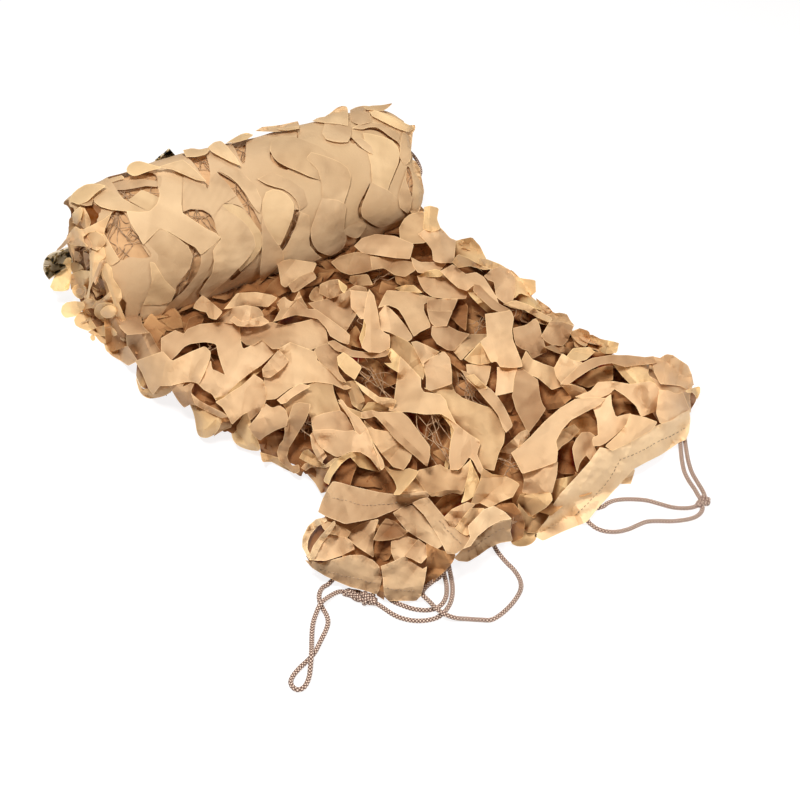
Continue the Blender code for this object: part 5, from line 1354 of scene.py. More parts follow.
# Leaves of the roll's last turn ("R", over its surface) and of its left end
# ("E", out from its end face).
ROLL_PILE = [
    # right half: long tongues, each free along one edge
    ("R", 0.2, [(271, 142, 1.5), (270, 150, 3), (273, 157, 3.6), (278, 162, 3.6), (287, 167, 3.4), (296, 170.5, 3.2), (308, 176, 2.6), (321, 180.5, 1.2),
                (338, 176), (346, 166), (334, 156), (318, 146), (296, 137), (280, 136)], dict(tint=0.1)),
    ("R", 0.2, [(311, 152), (322, 155, 1.2), (331, 158, 2), (341, 162.5, 3), (348, 168, 3.6), (351, 176, 3.6), (350, 184, 3.2), (347, 194, 2.6), (344, 203, 2),
                (338, 217, 1.4), (334, 223, 1), (325, 215), (322, 200), (322, 185), (318, 170), (306, 158)], dict(tint=0.05)),
    ("R", 0.4, [(262, 214), (262, 202), (266, 192, 1), (273, 189, 2), (281, 190.5, 3), (288, 195, 3.8), (293, 202, 4.4), (294.5, 209, 4.6), (292, 219, 4.2), (288, 229, 3.6),
                (284, 238, 2.6), (280, 246, 1.6), (273, 242), (266, 232)], dict(tint=0.35, dome=0.6)),
    ("R", 0.3, [(257, 179, 1), (266, 184, 2.4), (275, 187, 3), (283, 189, 3.2), (291, 194, 3.2), (297, 201, 3), (300, 210, 2), (308, 205), (304, 190), (290, 180), (272, 172)], dict(tint=0.05)),
    ("R", 0.3, [(363, 133), (370, 133.5, 1), (378, 135.5, 2.6), (386, 137.5, 3.6), (393, 141, 4.4), (398, 147, 4.6), (400, 154, 4.4), (398.5, 163, 3.8), (394, 174, 3), (389.5, 185, 2), (386, 196, 1),
                (378, 200), (372, 185), (371, 165), (367, 150)], dict(tint=0.3, dome=0.4)),
    ("R", 0.3, [(352, 128), (362, 129.5, 2), (368, 127.5, 3.4), (376, 127, 4), (383, 131, 3.8), (389, 136, 2.6), (398, 142, 1), (400, 135), (385, 124), (365, 121)], dict(tint=0.05)),
    ("R", 0.3, [(352, 138), (357, 143, 2), (362, 148, 2.4), (368, 152, 1.6), (374, 155, 0.6), (372, 146), (362, 138)], dict()),
    ("R", 0.3, [(371, 182), (367.5, 192, 2), (363, 202, 3), (361, 210, 3.6), (362.5, 217, 3.6), (368, 221.5, 3.4), (374, 225, 3), (380, 228, 2.4), (390, 224.5, 1.6), (400, 221, 1), (409, 214),
                (400, 200), (388, 190)], dict(tint=0.05)),
    ("R", 0.6, [(322, 198), (338, 200), (347, 205), (345, 216, 0.6), (344, 228, 1.4), (347, 238, 2.4), (344, 247, 3), (338, 252.5, 3.4), (331, 256, 3.6), (325, 254.5, 3.6), (318, 251.5, 3.8), (314, 246, 3.8), (311, 239, 3.2),
                (310.5, 230, 2.4), (314, 220, 1)], dict()),
    ("R", 0.4, [(348, 226), (360, 222), (367, 224), (364, 231, 2), (358, 238.5, 3), (350, 237, 2.8), (342, 232, 2)], dict()),
    ("R", 0.6, [(301, 212), (309, 215), (311, 228), (309, 238, 1), (310, 246, 2), (316, 253, 2.6), (322, 258, 3), (312, 262.5, 3.4), (300, 261, 3.4), (291, 258.5, 3.4), (284, 262, 3.2), (282, 252, 2), (288, 243, 1), (295, 228)],
     dict(tint=0.0)),
    ("R", 0.8, [(262, 216), (268, 230), (277, 243), (283, 251, 1), (284, 261, 2.4), (276, 268, 3), (266, 278, 3.4), (261, 285, 3.6), (260, 270, 2.6), (262, 252, 1.6), (262, 238, 0.6)], dict(tint=0.0)),
    ("R", 1.4, [(325, 121), (324, 127), (322, 133), (326, 139.5, 1), (333, 141.5, 1.4), (341, 142.5, 1.4), (348, 142, 1), (351, 136), (351.5, 128), (349, 120), (338, 118)], dict(tint=0.05, ruffle=0.3)),
    ("R", 3.0, [(312, 121, -1.5), (318, 117.5), (325, 116.5), (331, 112.5, 1), (337, 107.5, 1), (343, 105.5, 1), (347.5, 107, 1), (348.5, 117), (348, 126, -2), (338, 124, -2.6), (325, 123, -2.6)], dict(tint=0.1)),
    ("R", 2.6, [(350, 110), (356, 107, 1), (364, 105.5, 1), (369, 106), (370, 114), (372, 122, -2), (360, 125, -2.4), (351, 122, -2)], dict()),
    ("R", 5.0, [(364, 107), (372, 105.5), (382, 105), (393, 103), (388, 108), (383, 111), (377, 110.5), (370, 110), (366, 110)], dict(tint=0.4)),
    ("R", 3.4, [(368, 109), (378, 111), (386, 113.5), (394, 117), (402, 121.5), (409, 125), (415, 125), (415.5, 129), (413, 133, -1), (404, 131, -1.4), (394, 127, -1.4), (382, 121, -2), (372, 116, -2)],
     dict(tint=0.45, creases=[((380, 112), (412, 129), 0.2)])),
    ("R", 1.0, [(403, 130), (413, 132, 2), (412, 142, 2.4), (411, 152, 2.4), (411, 160, 2), (405, 166), (400, 158), (400, 144)], dict(tint=0.1)),
    ("R", -4.5, [(408, 160), (415, 160), (420, 168), (422, 180), (424, 190), (422, 203), (418, 215), (411, 214), (412, 198), (413, 182), (411, 170)], dict(tint=0.3, noise=0.9)),
    ("R", 1.0, [(398, 196), (404, 178), (407, 168, 1.6), (406, 180, 2.4), (409, 189, 2.6), (412, 198, 2.4), (411, 207, 2), (408, 214, 1), (400, 208)], dict(tint=0.05)),
    # the lip over the long shadow at the top, and gold lobes behind
    ("R", 0.8, [(255, 131, 1), (262, 131.5, 3), (275, 132, 3.6), (288, 130.5, 3), (300, 127.5, 1), (298, 121), (280, 125), (262, 127)], dict(tint=0.1)),
    ("R", 4.0, [(277, 128.5), (290, 127), (299, 126), (300, 128.5), (288, 130.5), (279, 130)], dict(tint=0.5)),
    ("R", 5.0, [(226, 143), (233, 138.5), (241, 134), (247, 132.5), (254, 135), (248, 139), (238, 142)], dict(tint=0.8)),
    ("R", 0.3, [(216, 171, 1), (222, 172.5, 3), (230, 177, 4), (238, 184, 4.4), (245, 193, 4.4), (251, 203, 4), (256, 210, 3), (260, 214, 1), (262, 200), (255, 185), (242, 172), (228, 164)], dict(tint=0.05)),
    # middle-left: the big leaf with its bright rim
    ("R", -1.0, [(221, 204), (232, 204, 1), (240, 207, 2), (246, 211, 2.4), (253, 221, 2.8), (260, 231, 3), (263, 240, 3), (261, 249, 3), (254, 259, 2.6), (247, 266, 2.4), (240, 272, 2), (236, 262), (244, 240), (238, 220)],
     dict(tint=0.45)),
    ("R", 0.8, [(221, 239), (216, 230), (214, 219), (220, 209), (230, 212, 0.6), (240, 218, 1.6), (248, 226, 2.4), (254, 236, 2.8), (256, 246, 2.8), (250, 256, 2.6), (243, 264, 2.4), (235, 272, 2.4), (225, 282, 2.4),
                (214, 291, 2.2), (205, 299, 2), (199, 293, 1), (205, 283), (212, 274), (214, 262), (213, 250)],
     dict(tint=0.05, creases=[((228, 212), (214, 262), 0.05), ((216, 262), (238, 268), 0.05)])),
    ("R", 0.6, [(184, 176), (192, 166), (198, 172, 1), (204, 181, 1.4), (208, 191, 1), (211, 178), (216, 172), (226, 182), (236, 196), (222, 205), (215, 214), (212, 215), (203, 210), (190, 209), (183, 212, -0.2), (183, 195)],
     dict(tint=0.05, ruffle=0.5)),
    ("R", 3.4, [(158, 167), (170, 163, 1), (183, 159.5, 1.6), (190, 165, 1.6), (198, 172.5, 1.4), (207, 181.5, 1), (196, 180), (185, 175), (172, 169.5)], dict(tint=0.2, creases=[((165, 166), (203, 180), 0.2)])),
    ("R", 4.0, [(208, 147), (214, 142, 1), (221, 140.5, 1), (228, 147, 1), (236, 157), (241, 166), (231, 162), (221, 157), (212, 152)], dict(tint=0.25, creases=[((213, 145), (238, 163), 0.2)])),
    ("R", 4.4, [(183, 150), (192, 148), (201, 149.5), (210, 148), (207, 154), (196, 157), (186, 157)], dict(tint=0.3)),
    # the wide band with the square tip, and the leaf beneath it
    ("R", 0.6, [(142, 245), (150, 236), (159, 226), (168, 232), (178, 238), (188, 246, 1), (193, 256, 2.4), (190.5, 267, 3), (185, 275, 3), (180, 280, 2.8), (176, 287, 2.6), (176, 293, 2.4), (166, 281), (154, 263), (147, 253)],
     dict(tint=0.15, creases=[((160, 229), (188, 262), 0.07), ((148, 250), (176, 284), -0.05)], slope=0.06)),
    ("R", 2.6, [(157, 171), (166, 168), (172, 170), (182, 176, 1.4), (182, 190, 1.4), (181.5, 205, 1.4), (183, 213, 1), (195, 221, 0.6), (207, 229, 0.8), (216, 233, 1), (221, 238, 1.6), (212, 246, 1.8), (201, 255, 2), (195, 247, 1.6), (189, 244, 1.4),
                (179, 238, 1), (169, 232, 1), (160, 228, 1), (152, 236), (143, 245), (138, 235), (131, 224), (126, 211), (140, 212), (150, 211), (157, 204), (160, 195), (158, 184)],
     dict(tint=0.1, creases=[((160, 205), (216, 236), 0.04), ((132, 215), (160, 228), 0.06)], slope=0.05, folds=1)),
    ("R", 0.6, [(201, 255), (212, 246), (220, 239), (216, 252), (211, 266), (201, 281), (189, 296), (178, 306), (165, 319), (150, 329), (158, 316), (171, 302), (187, 288), (197, 275), (201, 263)], dict(tint=0.0, slope=0.05)),
    ("R", 1.6, [(150, 262), (154, 262), (165, 280), (176, 291, 1.4), (171, 302, 1.6), (160, 305, 1), (150, 305), (143, 305), (148, 293), (152, 281)], dict(tint=0.35, creases=[((153, 264), (172, 296), 0.06)])),
    ("R", 1.2, [(143, 304), (155, 303), (171, 301), (162, 314, 1.4), (150, 328, 1.6), (144, 321, 1), (140, 315)], dict(tint=0.1)),
    # left: the pale band under the first opening, inner leaf, lobes behind
    ("R", 1.8, [(92, 197, 1), (95, 188, 1.4), (102, 181.5, 1.4), (112, 177.5, 1.4), (122, 175, 1.4), (125, 178), (110, 183, 0.6), (115, 190, 0.6), (122, 198, 0.6), (131, 203, 0.6), (141, 208, 0.6), (150, 212), (140, 213), (124, 211, 0.8),
                (112, 210, 0.8), (101, 207, 1), (95, 203, 1)], dict(tint=0.2, slope=0.06)),
    ("R", -2.2, [(128, 200), (136, 194), (142, 189.5, 1), (150, 193), (160, 198), (156, 206), (150, 212), (140, 207)], dict(tint=0.55)),
    ("R", -2.6, [(110, 184), (124, 180), (142, 179), (158, 181), (158, 187), (146, 186), (136, 188), (124, 190), (115, 190)], dict(tint=0.0)),
    ("R", 6.5, [(127, 172), (127.5, 166.5), (132, 162.5), (139, 161), (147, 163), (155, 165.5), (162, 167.5), (151, 170.5), (144, 173), (134, 176)], dict(tint=0.85, round_it=True)),
    ("R", 6.0, [(69.5, 201), (72, 194), (77.5, 189), (85, 184.5), (92, 183.5), (100, 184), (106, 186), (96, 193), (88, 201), (79, 205)], dict(tint=0.7)),
    ("R", 0.6, [(104, 233, 1), (108, 240, 1.4), (113, 249, 1.4), (120, 260, 1), (112, 266), (105, 262), (103, 250)], dict(tint=0.4)),
    # left end: leaves out from the end face
    # the left end: ragged inner turns behind, hanging tips in front
    # their tones are painted shade and light: the pieces that lie low and inside are painted darker, most upper ones
    # lighter
    ("E", -3.0, [(76, 208), (92, 203), (104, 210), (108, 236), (110, 262), (112, 290), (118, 318), (126, 338), (118, 345), (106, 340), (94, 331), (84, 318), (80, 300),
                 (76, 286), (74, 266), (74, 248), (80, 232), (80, 220)], dict(tone=-0.42, tint=0.0, folds=7)),
    ("E", -1.0, [(84, 206), (92, 205), (97, 212), (99.5, 215), (96, 221), (93, 226), (88, 224), (84, 216)], dict(tone=-0.52, folds=1)),
    ("E", -1.0, [(72, 249), (84, 246), (90, 251), (90, 268), (84, 272), (74, 271)], dict(tone=-0.30, dome=-2)),
    ("E", 0.5, [(72, 250), (79, 252), (83, 258), (80, 262), (74, 260)], dict(tone=-0.08, tint=0.0)),
    ("E", 0.5, [(71, 263), (80, 264), (84, 270), (80, 273), (73, 274)], dict(tone=-0.05, tint=0.4, dome=1.5, round_it=True)),
    ("E", 1.0, [(83, 252), (89, 254), (90, 264), (86, 268), (84, 260)], dict(tone=-0.22, tint=0.0)),
    ("E", -0.5, [(91, 268), (98, 276), (104, 281), (108, 291), (101, 297), (93, 300), (90, 290)], dict(tone=-0.40)),
    ("E", 4.0, [(72, 214), (76, 209), (81, 206), (83, 211), (81, 219), (77, 226), (73, 222)], dict(tint=0.55, tone=0.08)),
    ("E", 3.0, [(80, 208), (84, 207), (88, 214), (91, 221), (90, 226), (84, 229.5), (81, 224), (82, 216)], dict(tint=0.3, tone=0.02, creases=[((84, 208), (86, 228), 0.35)])),
    ("E", 2.0, [(79, 218), (81.5, 220), (83, 229), (80, 232), (78, 226)], dict(tint=0.5, tone=-0.05, folds=1)),
    ("E", 4.0, [(78, 204), (85, 200), (91, 194), (93, 200), (92, 205), (86, 206)], dict(tint=0.1, tone=-0.05)),
    ("E", 7.0, [(70, 232), (75, 226), (82, 230), (92, 225), (104, 219), (112, 212), (108, 222), (105, 229), (104, 236), (96, 231), (88, 233), (83, 237), (84, 242), (89, 247),
                (80, 246), (72, 246), (66, 241), (67, 237)], dict(tint=0.25, tone=0.16)),
    ("E", 10.0, [(56, 251), (57.5, 248.5), (62, 244), (65.5, 239), (70, 236), (71, 240), (66, 245), (60, 250)], dict(tint=0.0, folds=0, tone=-0.04)),
    ("E", 6.0, [(81, 236), (86, 234), (90, 240), (93, 246), (88, 250), (84, 243)], dict(tint=0.1, tone=-0.10)),
    ("E", 6.5, [(86, 233), (96, 231), (104, 236), (106, 243), (98, 251), (92, 249), (91, 242), (88, 238)], dict(tint=0.2, tone=0.02)),
    ("E", 8.0, [(50, 287), (54, 277), (60, 269), (66, 258), (71, 257), (72, 268), (71, 279), (69, 290), (62, 291.5), (54, 291)], dict(tint=0.75, tone=0.20, dome=2, creases=[((71, 260), (64, 290), -0.25)])),
    ("E", 3.0, [(71, 274), (81, 270), (90, 271), (91, 282), (88, 291), (84, 286), (77, 286), (71, 290), (70, 281)], dict(tint=0.45, tone=0.12)),
    ("E", 4.0, [(72, 291), (74, 286), (80, 284), (86, 287), (86, 293), (82, 299), (76, 297)], dict(tint=0.55, tone=0.02, dome=4, round_it=True)),
    ("E", 7.5, [(75.5, 291), (79, 288), (84, 290), (82.5, 294), (78, 294.5)], dict(tint=0.2, tone=-0.22, dome=-1.5, round_it=True, folds=0)),
    ("E", 6.0, [(89, 249), (97, 252), (104, 246), (106, 257), (99, 262), (96, 271), (93, 282), (90, 290), (89, 299), (86, 298), (89, 284), (90, 268)],
     dict(tint=0.35, tone=0.14, creases=[((95, 252), (89, 296), 0.3)])),
    ("E", 7.5, [(99, 262), (105, 259), (106, 262), (101, 271), (98, 280), (96, 286), (92, 279), (96, 270)], dict(tint=0.0, tone=-0.02, creases=[((103, 261), (95, 284), 0.5)])),
    ("E", 5.0, [(84, 296), (88, 290), (92, 296), (96, 302), (103, 298), (110, 291), (113, 302), (104, 304), (98, 309), (90, 308), (85, 304)], dict(tint=0.3, tone=0.08)),
    ("E", 7.0, [(61, 311), (62, 306), (66, 302.5), (74, 301), (84, 302), (85, 307), (82, 311), (76, 316), (66, 318), (62, 315)], dict(tint=0.6, tone=0.16, dome=1.5)),
    ("E", 6.0, [(81, 302), (88, 298), (97, 301), (92, 308), (84, 309)], dict(tint=0.3, tone=0.0)),
    ("E", 5.0, [(74, 320), (77, 314), (83, 311), (90, 311), (91, 319), (97, 328), (88, 331), (80, 328), (75, 325)], dict(tint=0.5, tone=0.14)),
    ("E", 6.5, [(82, 308), (88, 310), (92, 316), (90, 322), (86, 316)], dict(tint=0.2, tone=0.05, folds=1)),
    ("E", 5.5, [(94, 313), (97, 305), (105, 302.5), (113, 304), (117, 311), (114, 317), (107, 321), (99, 319)], dict(tint=0.5, tone=0.06, dome=3, round_it=True)),
    ("E", 8.0, [(100, 312), (106, 306), (113, 306), (116, 312), (112, 317), (105, 318)], dict(tint=0.4, tone=0.14, dome=-1.0, round_it=True, folds=1)),
    ("E", 1.5, [(96, 322), (106, 321), (116, 318), (118, 326), (108, 327), (98, 327)], dict(tint=0.0, tone=-0.32)),
    ("E", 4.0, [(88, 332), (96, 327), (106, 325), (118, 327), (120, 334), (112, 337), (102, 336), (94, 336)], dict(tint=0.3, tone=0.12)),
    ("E", 5.5, [(90, 337), (92, 334.5), (95, 336), (95, 340), (92, 341)], dict(tint=0.2, tone=0.2, dome=1.5, round_it=True, folds=0)),
    ("E", 3.0, [(107, 333), (115, 331), (123, 335), (127, 341), (119, 344), (110, 341)], dict(tint=0.3, tone=0.02)),
    ("E", 2.5, [(94, 334), (104, 334), (110, 340), (108, 346), (100, 342)], dict(tint=0.3, tone=0.08)),
    ("E", 4.5, [(104, 344), (112, 342), (120, 343), (127, 341), (131, 350), (122, 353), (112, 354), (106, 351)], dict(tint=0.4, tone=0.16)),
    ("E", 2.0, [(102, 265), (107, 263), (112, 268), (113, 278), (121, 290), (122, 298), (119, 303), (127, 322), (131, 335), (136, 351), (127, 345), (121, 333), (116, 316),
                 (113, 301), (107, 284), (102, 273)], dict(tint=0.30, tone=0.14, creases=[((106, 266), (128, 340), 0.4)])),
]
for _n, (_kind, _level, _outline, _opt) in sorted(enumerate(ROLL_PILE), key=lambda row: row[1][1]):
    leaf(ROLLED if _kind == "R" else ENDS, _level, _outline, seed=400 + _n, on="roll" if _kind == "R" else "end", **_opt)

# The twine that shows in openings: outline, how many strands, how deep they
# sag and a point where they gather.
HEAP_TWINE = (
    (((352, 358), (372, 360), (396, 378), (392, 397), (374, 394), (358, 376)), 9, 8, None),
    (((412, 414), (428, 412), (446, 418), (450, 466), (436, 466), (424, 440)), 11, 10, (431, 413)),
    (((457, 374), (470, 376), (484, 392), (488, 405), (470, 404), (458, 392)), 7, 8, None),
    (((496, 454), (510, 452), (522, 462), (518, 478), (502, 478)), 6, 8, None),
    (((502, 306), (520, 303), (540, 308), (538, 320), (516, 324)), 5, 6, None),
    (((468, 318), (480, 316), (490, 322), (486, 334), (472, 334)), 5, 6, None),
    (((346, 312), (356, 306), (366, 314), (362, 330), (350, 328)), 4, 6, None),
    (((370, 270), (382, 268), (396, 274), (392, 284), (376, 286)), 5, 5, None),
    (((290, 410), (304, 408), (314, 420), (310, 440), (296, 436)), 6, 8, None),
    (((196, 340), (210, 336), (222, 346), (214, 360), (200, 356)), 5, 6, None),
    (((492, 505), (508, 502), (522, 512), (520, 536), (502, 538)), 6, 8, None),
    (((300, 350), (316, 346), (330, 356), (324, 370), (306, 366)), 5, 6, None),
)
ROLL_TWINE = ((0, 9, 3, (112, 186)), (1, 14, 3, (117, 213)), (2, 9, 3, (205, 162)), (3, 8, 3, None), (4, 3, 2, None), (6, 5, 3, None),
              (7, 4, 3, None), (8, 5, 2, None), (9, 3, 2, None), (14, 2, 2, None))
END_TWINE = (
    (((72, 238), (84, 232), (100, 232), (106, 250), (98, 270), (80, 268)), 8, 3, None),
    (((74, 262), (90, 256), (104, 266), (100, 292), (84, 298), (74, 286)), 8, 3, None),
)
STITCHES = (
    ((563, 527), (575, 515), (598, 492), (610, 478), (618, 464), (622, 459), (640, 452), (654, 444), (675, 434), (686, 428)),
    ((333, 498), (355, 503), (375, 505), (400, 501)),
    ((320, 570), (352, 577), (375, 584)), ((387, 588), (400, 590), (415, 590)),
    ((440, 520), (450, 533), (462, 545)), ((468, 552), (488, 537), (508, 526)),
)
for _n, (_outline, _count, _sag, _fan) in enumerate(HEAP_TWINE):
    twines(TWINE, _outline, _count, _sag, 700 + _n, "heap", _fan)
for _n, (_hole, _count, _sag, _fan) in enumerate(ROLL_TWINE):
    twines(TWINE, ROLL_HOLES[_hole][0], _count, _sag, 740 + _n, "roll", _fan)
for _n, (_outline, _count, _sag, _fan) in enumerate(END_TWINE):
    twines(TWINE, _outline, _count, _sag, 760 + _n, "roll", _fan)
for _line in STITCHES:
    stitches(THREAD, _line)


# ------------------------------------------- inner layers and the far sides
def build_base():
    """The folded layers underneath, painted dark as the shade in the gaps."""
    nx, ny = 150, 170
    a, b = np.meshgrid(np.linspace(0.0, 1.0, nx), np.linspace(0.0, 1.0, ny), indexing="ij")
    y = 0.272 + (-0.222 - 0.272) * b
    left, right = table(HEAP_LEFT, y) + 0.006, table(HEAP_RIGHT, y) - 0.006
    x = left + (right - left) * a
    y = np.maximum(y, table(HEAP_FRONT, x) + 0.006 + 0.0 * y)
    h, e = heap(x, y)
    p = np.stack([x.ravel(), y.ravel()], 1) * 1000.0
    crumple = np.abs(wobble(p, 41, 9.0)) * 0.005 + np.abs(wobble(p, 42, 5.0)) * 0.002
    z = np.maximum(h.ravel() - 0.025 + crumple, 0.0010 + 0.2 * crumple)
    v = np.stack([x.ravel(), y.ravel(), z], 1)
    faces = []
    for i in range(nx - 1):
        for j in range(ny - 1):
            k = i * ny + j
            faces.append((k, k + ny, k + ny + 1, k + 1))
    hid = covered(v)
    faces = [q for q in faces if hid[list(q)].all()]
    soup = Soup()
    soup.add(v, faces, p, 0.0)
    return soup


def heap_normal(x, y):
    d = 0.002
    h0 = heap(x, y)[0]
    hx = heap(x + d, y)[0] - h0
    hy = heap(x, y + d)[0] - h0
    n = np.stack([-hx / d, -hy / d, np.ones_like(h0)], -1)
    return n / np.linalg.norm(n, axis=-1, keepdims=True)


CUTS = (
    ((-20, -9), (-6, -13), (12, -12), (20, -4), (18, 9), (4, 13), (-13, 11)),
    ((-22, -7), (-8, -10), (14, -9), (22, -12), (23, 6), (8, 10), (-10, 9), (-20, 12)),
    ((-18, -12), (2, -15), (20, -8), (14, 4), (16, 13), (-4, 12), (-16, 6)),
    ((-24, -5), (-4, -9), (20, -8), (24, 2), (12, 9), (-8, 8), (-22, 7)),
)


def covered(v):
    """Which points the placed leaves, and the gaps between them, stand before."""
    if "heap" not in CLOSED:
        CLOSED["heap"] = -spread(-spread(COVER, 16), 18)
    rel = v - EYE
    far = rel @ FWD
    px = np.stack([400.0 + FOCAL * (rel @ RIGHT) / far, 400.0 - FOCAL * (rel @ UPV) / far], 1)
    return sample(CLOSED["heap"], px, (0, 0)) > 0.5


CLOSED = {}


def loose_leaf(soup, place, normal, turn, size, level, seed, curl, tint=0.0):
    """A leaf lying on the heap's side or among its layers."""
    rng = np.random.default_rng(seed)
    shape = np.array(CUTS[seed % len(CUTS)], float) * size
    shape += rng.uniform(-1.6, 1.6, shape.shape)
    edge = even(shape, 3.2, closed=True)
    tents = []
    lines = []
    for k in range(3):
        c = rng.uniform(-7, 7, 2)
        a = rng.uniform(0, math.pi)
        d = np.array([math.cos(a), math.sin(a)])
        tents.append((c, d, rng.uniform(0.08, 0.26) * rng.choice([-1, 1])))
        lines.append(even(np.array([c - d * 40, c + d * 40]), 3.2))
    v2, f = triangulate(edge, (), lines, spacing=3.4, rng=rng)
    if len(f) == 0:
        return
    h = np.full(len(v2), level)
    for c, d, s in tents:
        h += s * (np.abs((v2 - c) @ np.array([-d[1], d[0]])) - 5.0)
    axis = v2 @ np.array([math.cos(curl[1]), math.sin(curl[1])])
    h += curl[0] * (axis / 20.0) ** 2 + 0.5 * wobble(v2, seed, 9.0)
    n = unit(normal)
    t = unit(np.cross(n, [math.cos(turn), math.sin(turn), 0.3]))
    b = np.cross(n, t)
    v = place + (v2[:, :1] * t + v2[:, 1:2] * b + h[:, None] * n) / 1000.0
    v[:, 2] = np.maximum(v[:, 2], 0.0008 + 0.0004 * (seed % 4))
    for _ in range(9):
        if covered(v).all():
            break
        v[:, 2] = np.maximum(v[:, 2] - 0.003, 0.0008 + 0.0004 * (seed % 4))
    else:
        return
    d, _, _ = to_line(np.vstack([edge, edge[:1]]), v2)
    # painted highlight: a warmer ring along the cut edge
    soup.add(v, f, v2, np.clip(tint + np.where(d < 0.5, 0.35, 0.0), 0.0, 1.0))


def seen(p, margin=0.0):
    """Whether the heap's surface at p faces the main view."""
    n = heap_normal(p[0], p[1])
    return float(n @ BACK) > margin


def fill_heap():
    rng = np.random.default_rng(77)
    # among the layers, everywhere
    for k in range(260):
        y = rng.uniform(-0.20, 0.262)
        x = rng.uniform(table(HEAP_LEFT, y) + 0.018, table(HEAP_RIGHT, y) - 0.018)
        if y < table(HEAP_FRONT, x) + 0.015:
            continue
        h = heap(np.array(x), np.array(y))[0]
        n = heap_normal(np.array(x), np.array(y))
        place = np.array([x, y, max(0.004, float(h) - 0.019)])
        loose_leaf(LOW, place, n, rng.uniform(0, 6.28), rng.uniform(0.8, 1.15), 0.0, 500 + k,
                   (rng.uniform(-5, 5), rng.uniform(0, 3.14)), tint=rng.uniform(0, 0.4))
    # the side that faces away, with its own leaves and hanging tips
    for k in range(280):
        y = rng.uniform(-0.165, 0.262)
        inset = rng.uniform(0.006, 0.040)
        x = table(HEAP_RIGHT, y) - inset
        if y < table(HEAP_FRONT, x) + 0.02:
            continue
        h = float(heap(np.array(x), np.array(y))[0])
        n = heap_normal(np.array(x), np.array(y))
        if n @ BACK > 0.30:
            continue
        place = np.array([x, y, max(0.005, h - 0.001)])
        loose_leaf(FAR, place, n, rng.uniform(0, 6.28), rng.uniform(0.75, 1.05), rng.uniform(-4.0, -0.5), 900 + k,
                   (rng.uniform(-3, 6), rng.uniform(0, 3.14)), tint=rng.uniform(0, 0.25))


def paint_shade_under_neighbours(soup, fall, most):
    """Painted shade: cloth that lies under its neighbours is painted darker."""
    hood = blur(LAID["heap"], 6)
    for k, v in enumerate(soup.v):
        rel = v - EYE
        far = rel @ FWD
        px = np.stack([400.0 + FOCAL * (rel @ RIGHT) / far, 400.0 - FOCAL * (rel @ UPV) / far], 1)
        under = (sample(hood, px, (0, 0)) - v[:, 2] * 1000.0 - 1.5) / fall
        soup.tone[k] = soup.tone[k] - most * np.clip(under, 0.0, 1.0)


FAR = Soup()
fill_heap()
paint_shade_under_neighbours(LOW, 13.0, 0.58)
paint_shade_under_neighbours(TOP, 9.0, 0.44)
paint_shade_under_neighbours(BAND, 11.0, 0.30)
roll_skin = build_roll().build("roll_leaves", ROLL_CLOTH, sharp=40.0, slot="net_cloth")
roll_core = build_roll_core().build("roll_inner_turn", CORE_CLOTH, sharp=50.0, slot="net_cloth")
roll_turns = build_turns().build("roll_turns", LEAF_CLOTH, sharp=40.0, slot="net_cloth")
roll_over = ROLLED.build("roll_tongues", ROLL_CLOTH, sharp=16.0, slot="net_cloth")
roll_ends = ENDS.build("end_tips", LEAF_CLOTH, sharp=16.0, slot="net_cloth")
heap_base = build_base().build("under_layers", DEEP_SHADE_CLOTH, sharp=40.0, slot="net_cloth")
heap_top = TOP.build("top_leaves", LEAF_CLOTH, sharp=16.0, slot="net_cloth")
heap_low = LOW.build("inner_leaves", SHADED_UNDER_CLOTH, sharp=20.0, slot="net_cloth")
heap_far = FAR.build("side_leaves", LEAF_CLOTH, sharp=16.0, slot="net_cloth")
net_twine = TWINE.build("net_twine", TWINE_MAT, sharp=60.0, slot="net_cloth")
seam_thread = THREAD.build("seam_thread", THREAD_MAT, sharp=60.0, slot="binding_cloth")
binding = BAND.build("sewn_edge", BAND_CLOTH, sharp=16.0, slot="binding_cloth")


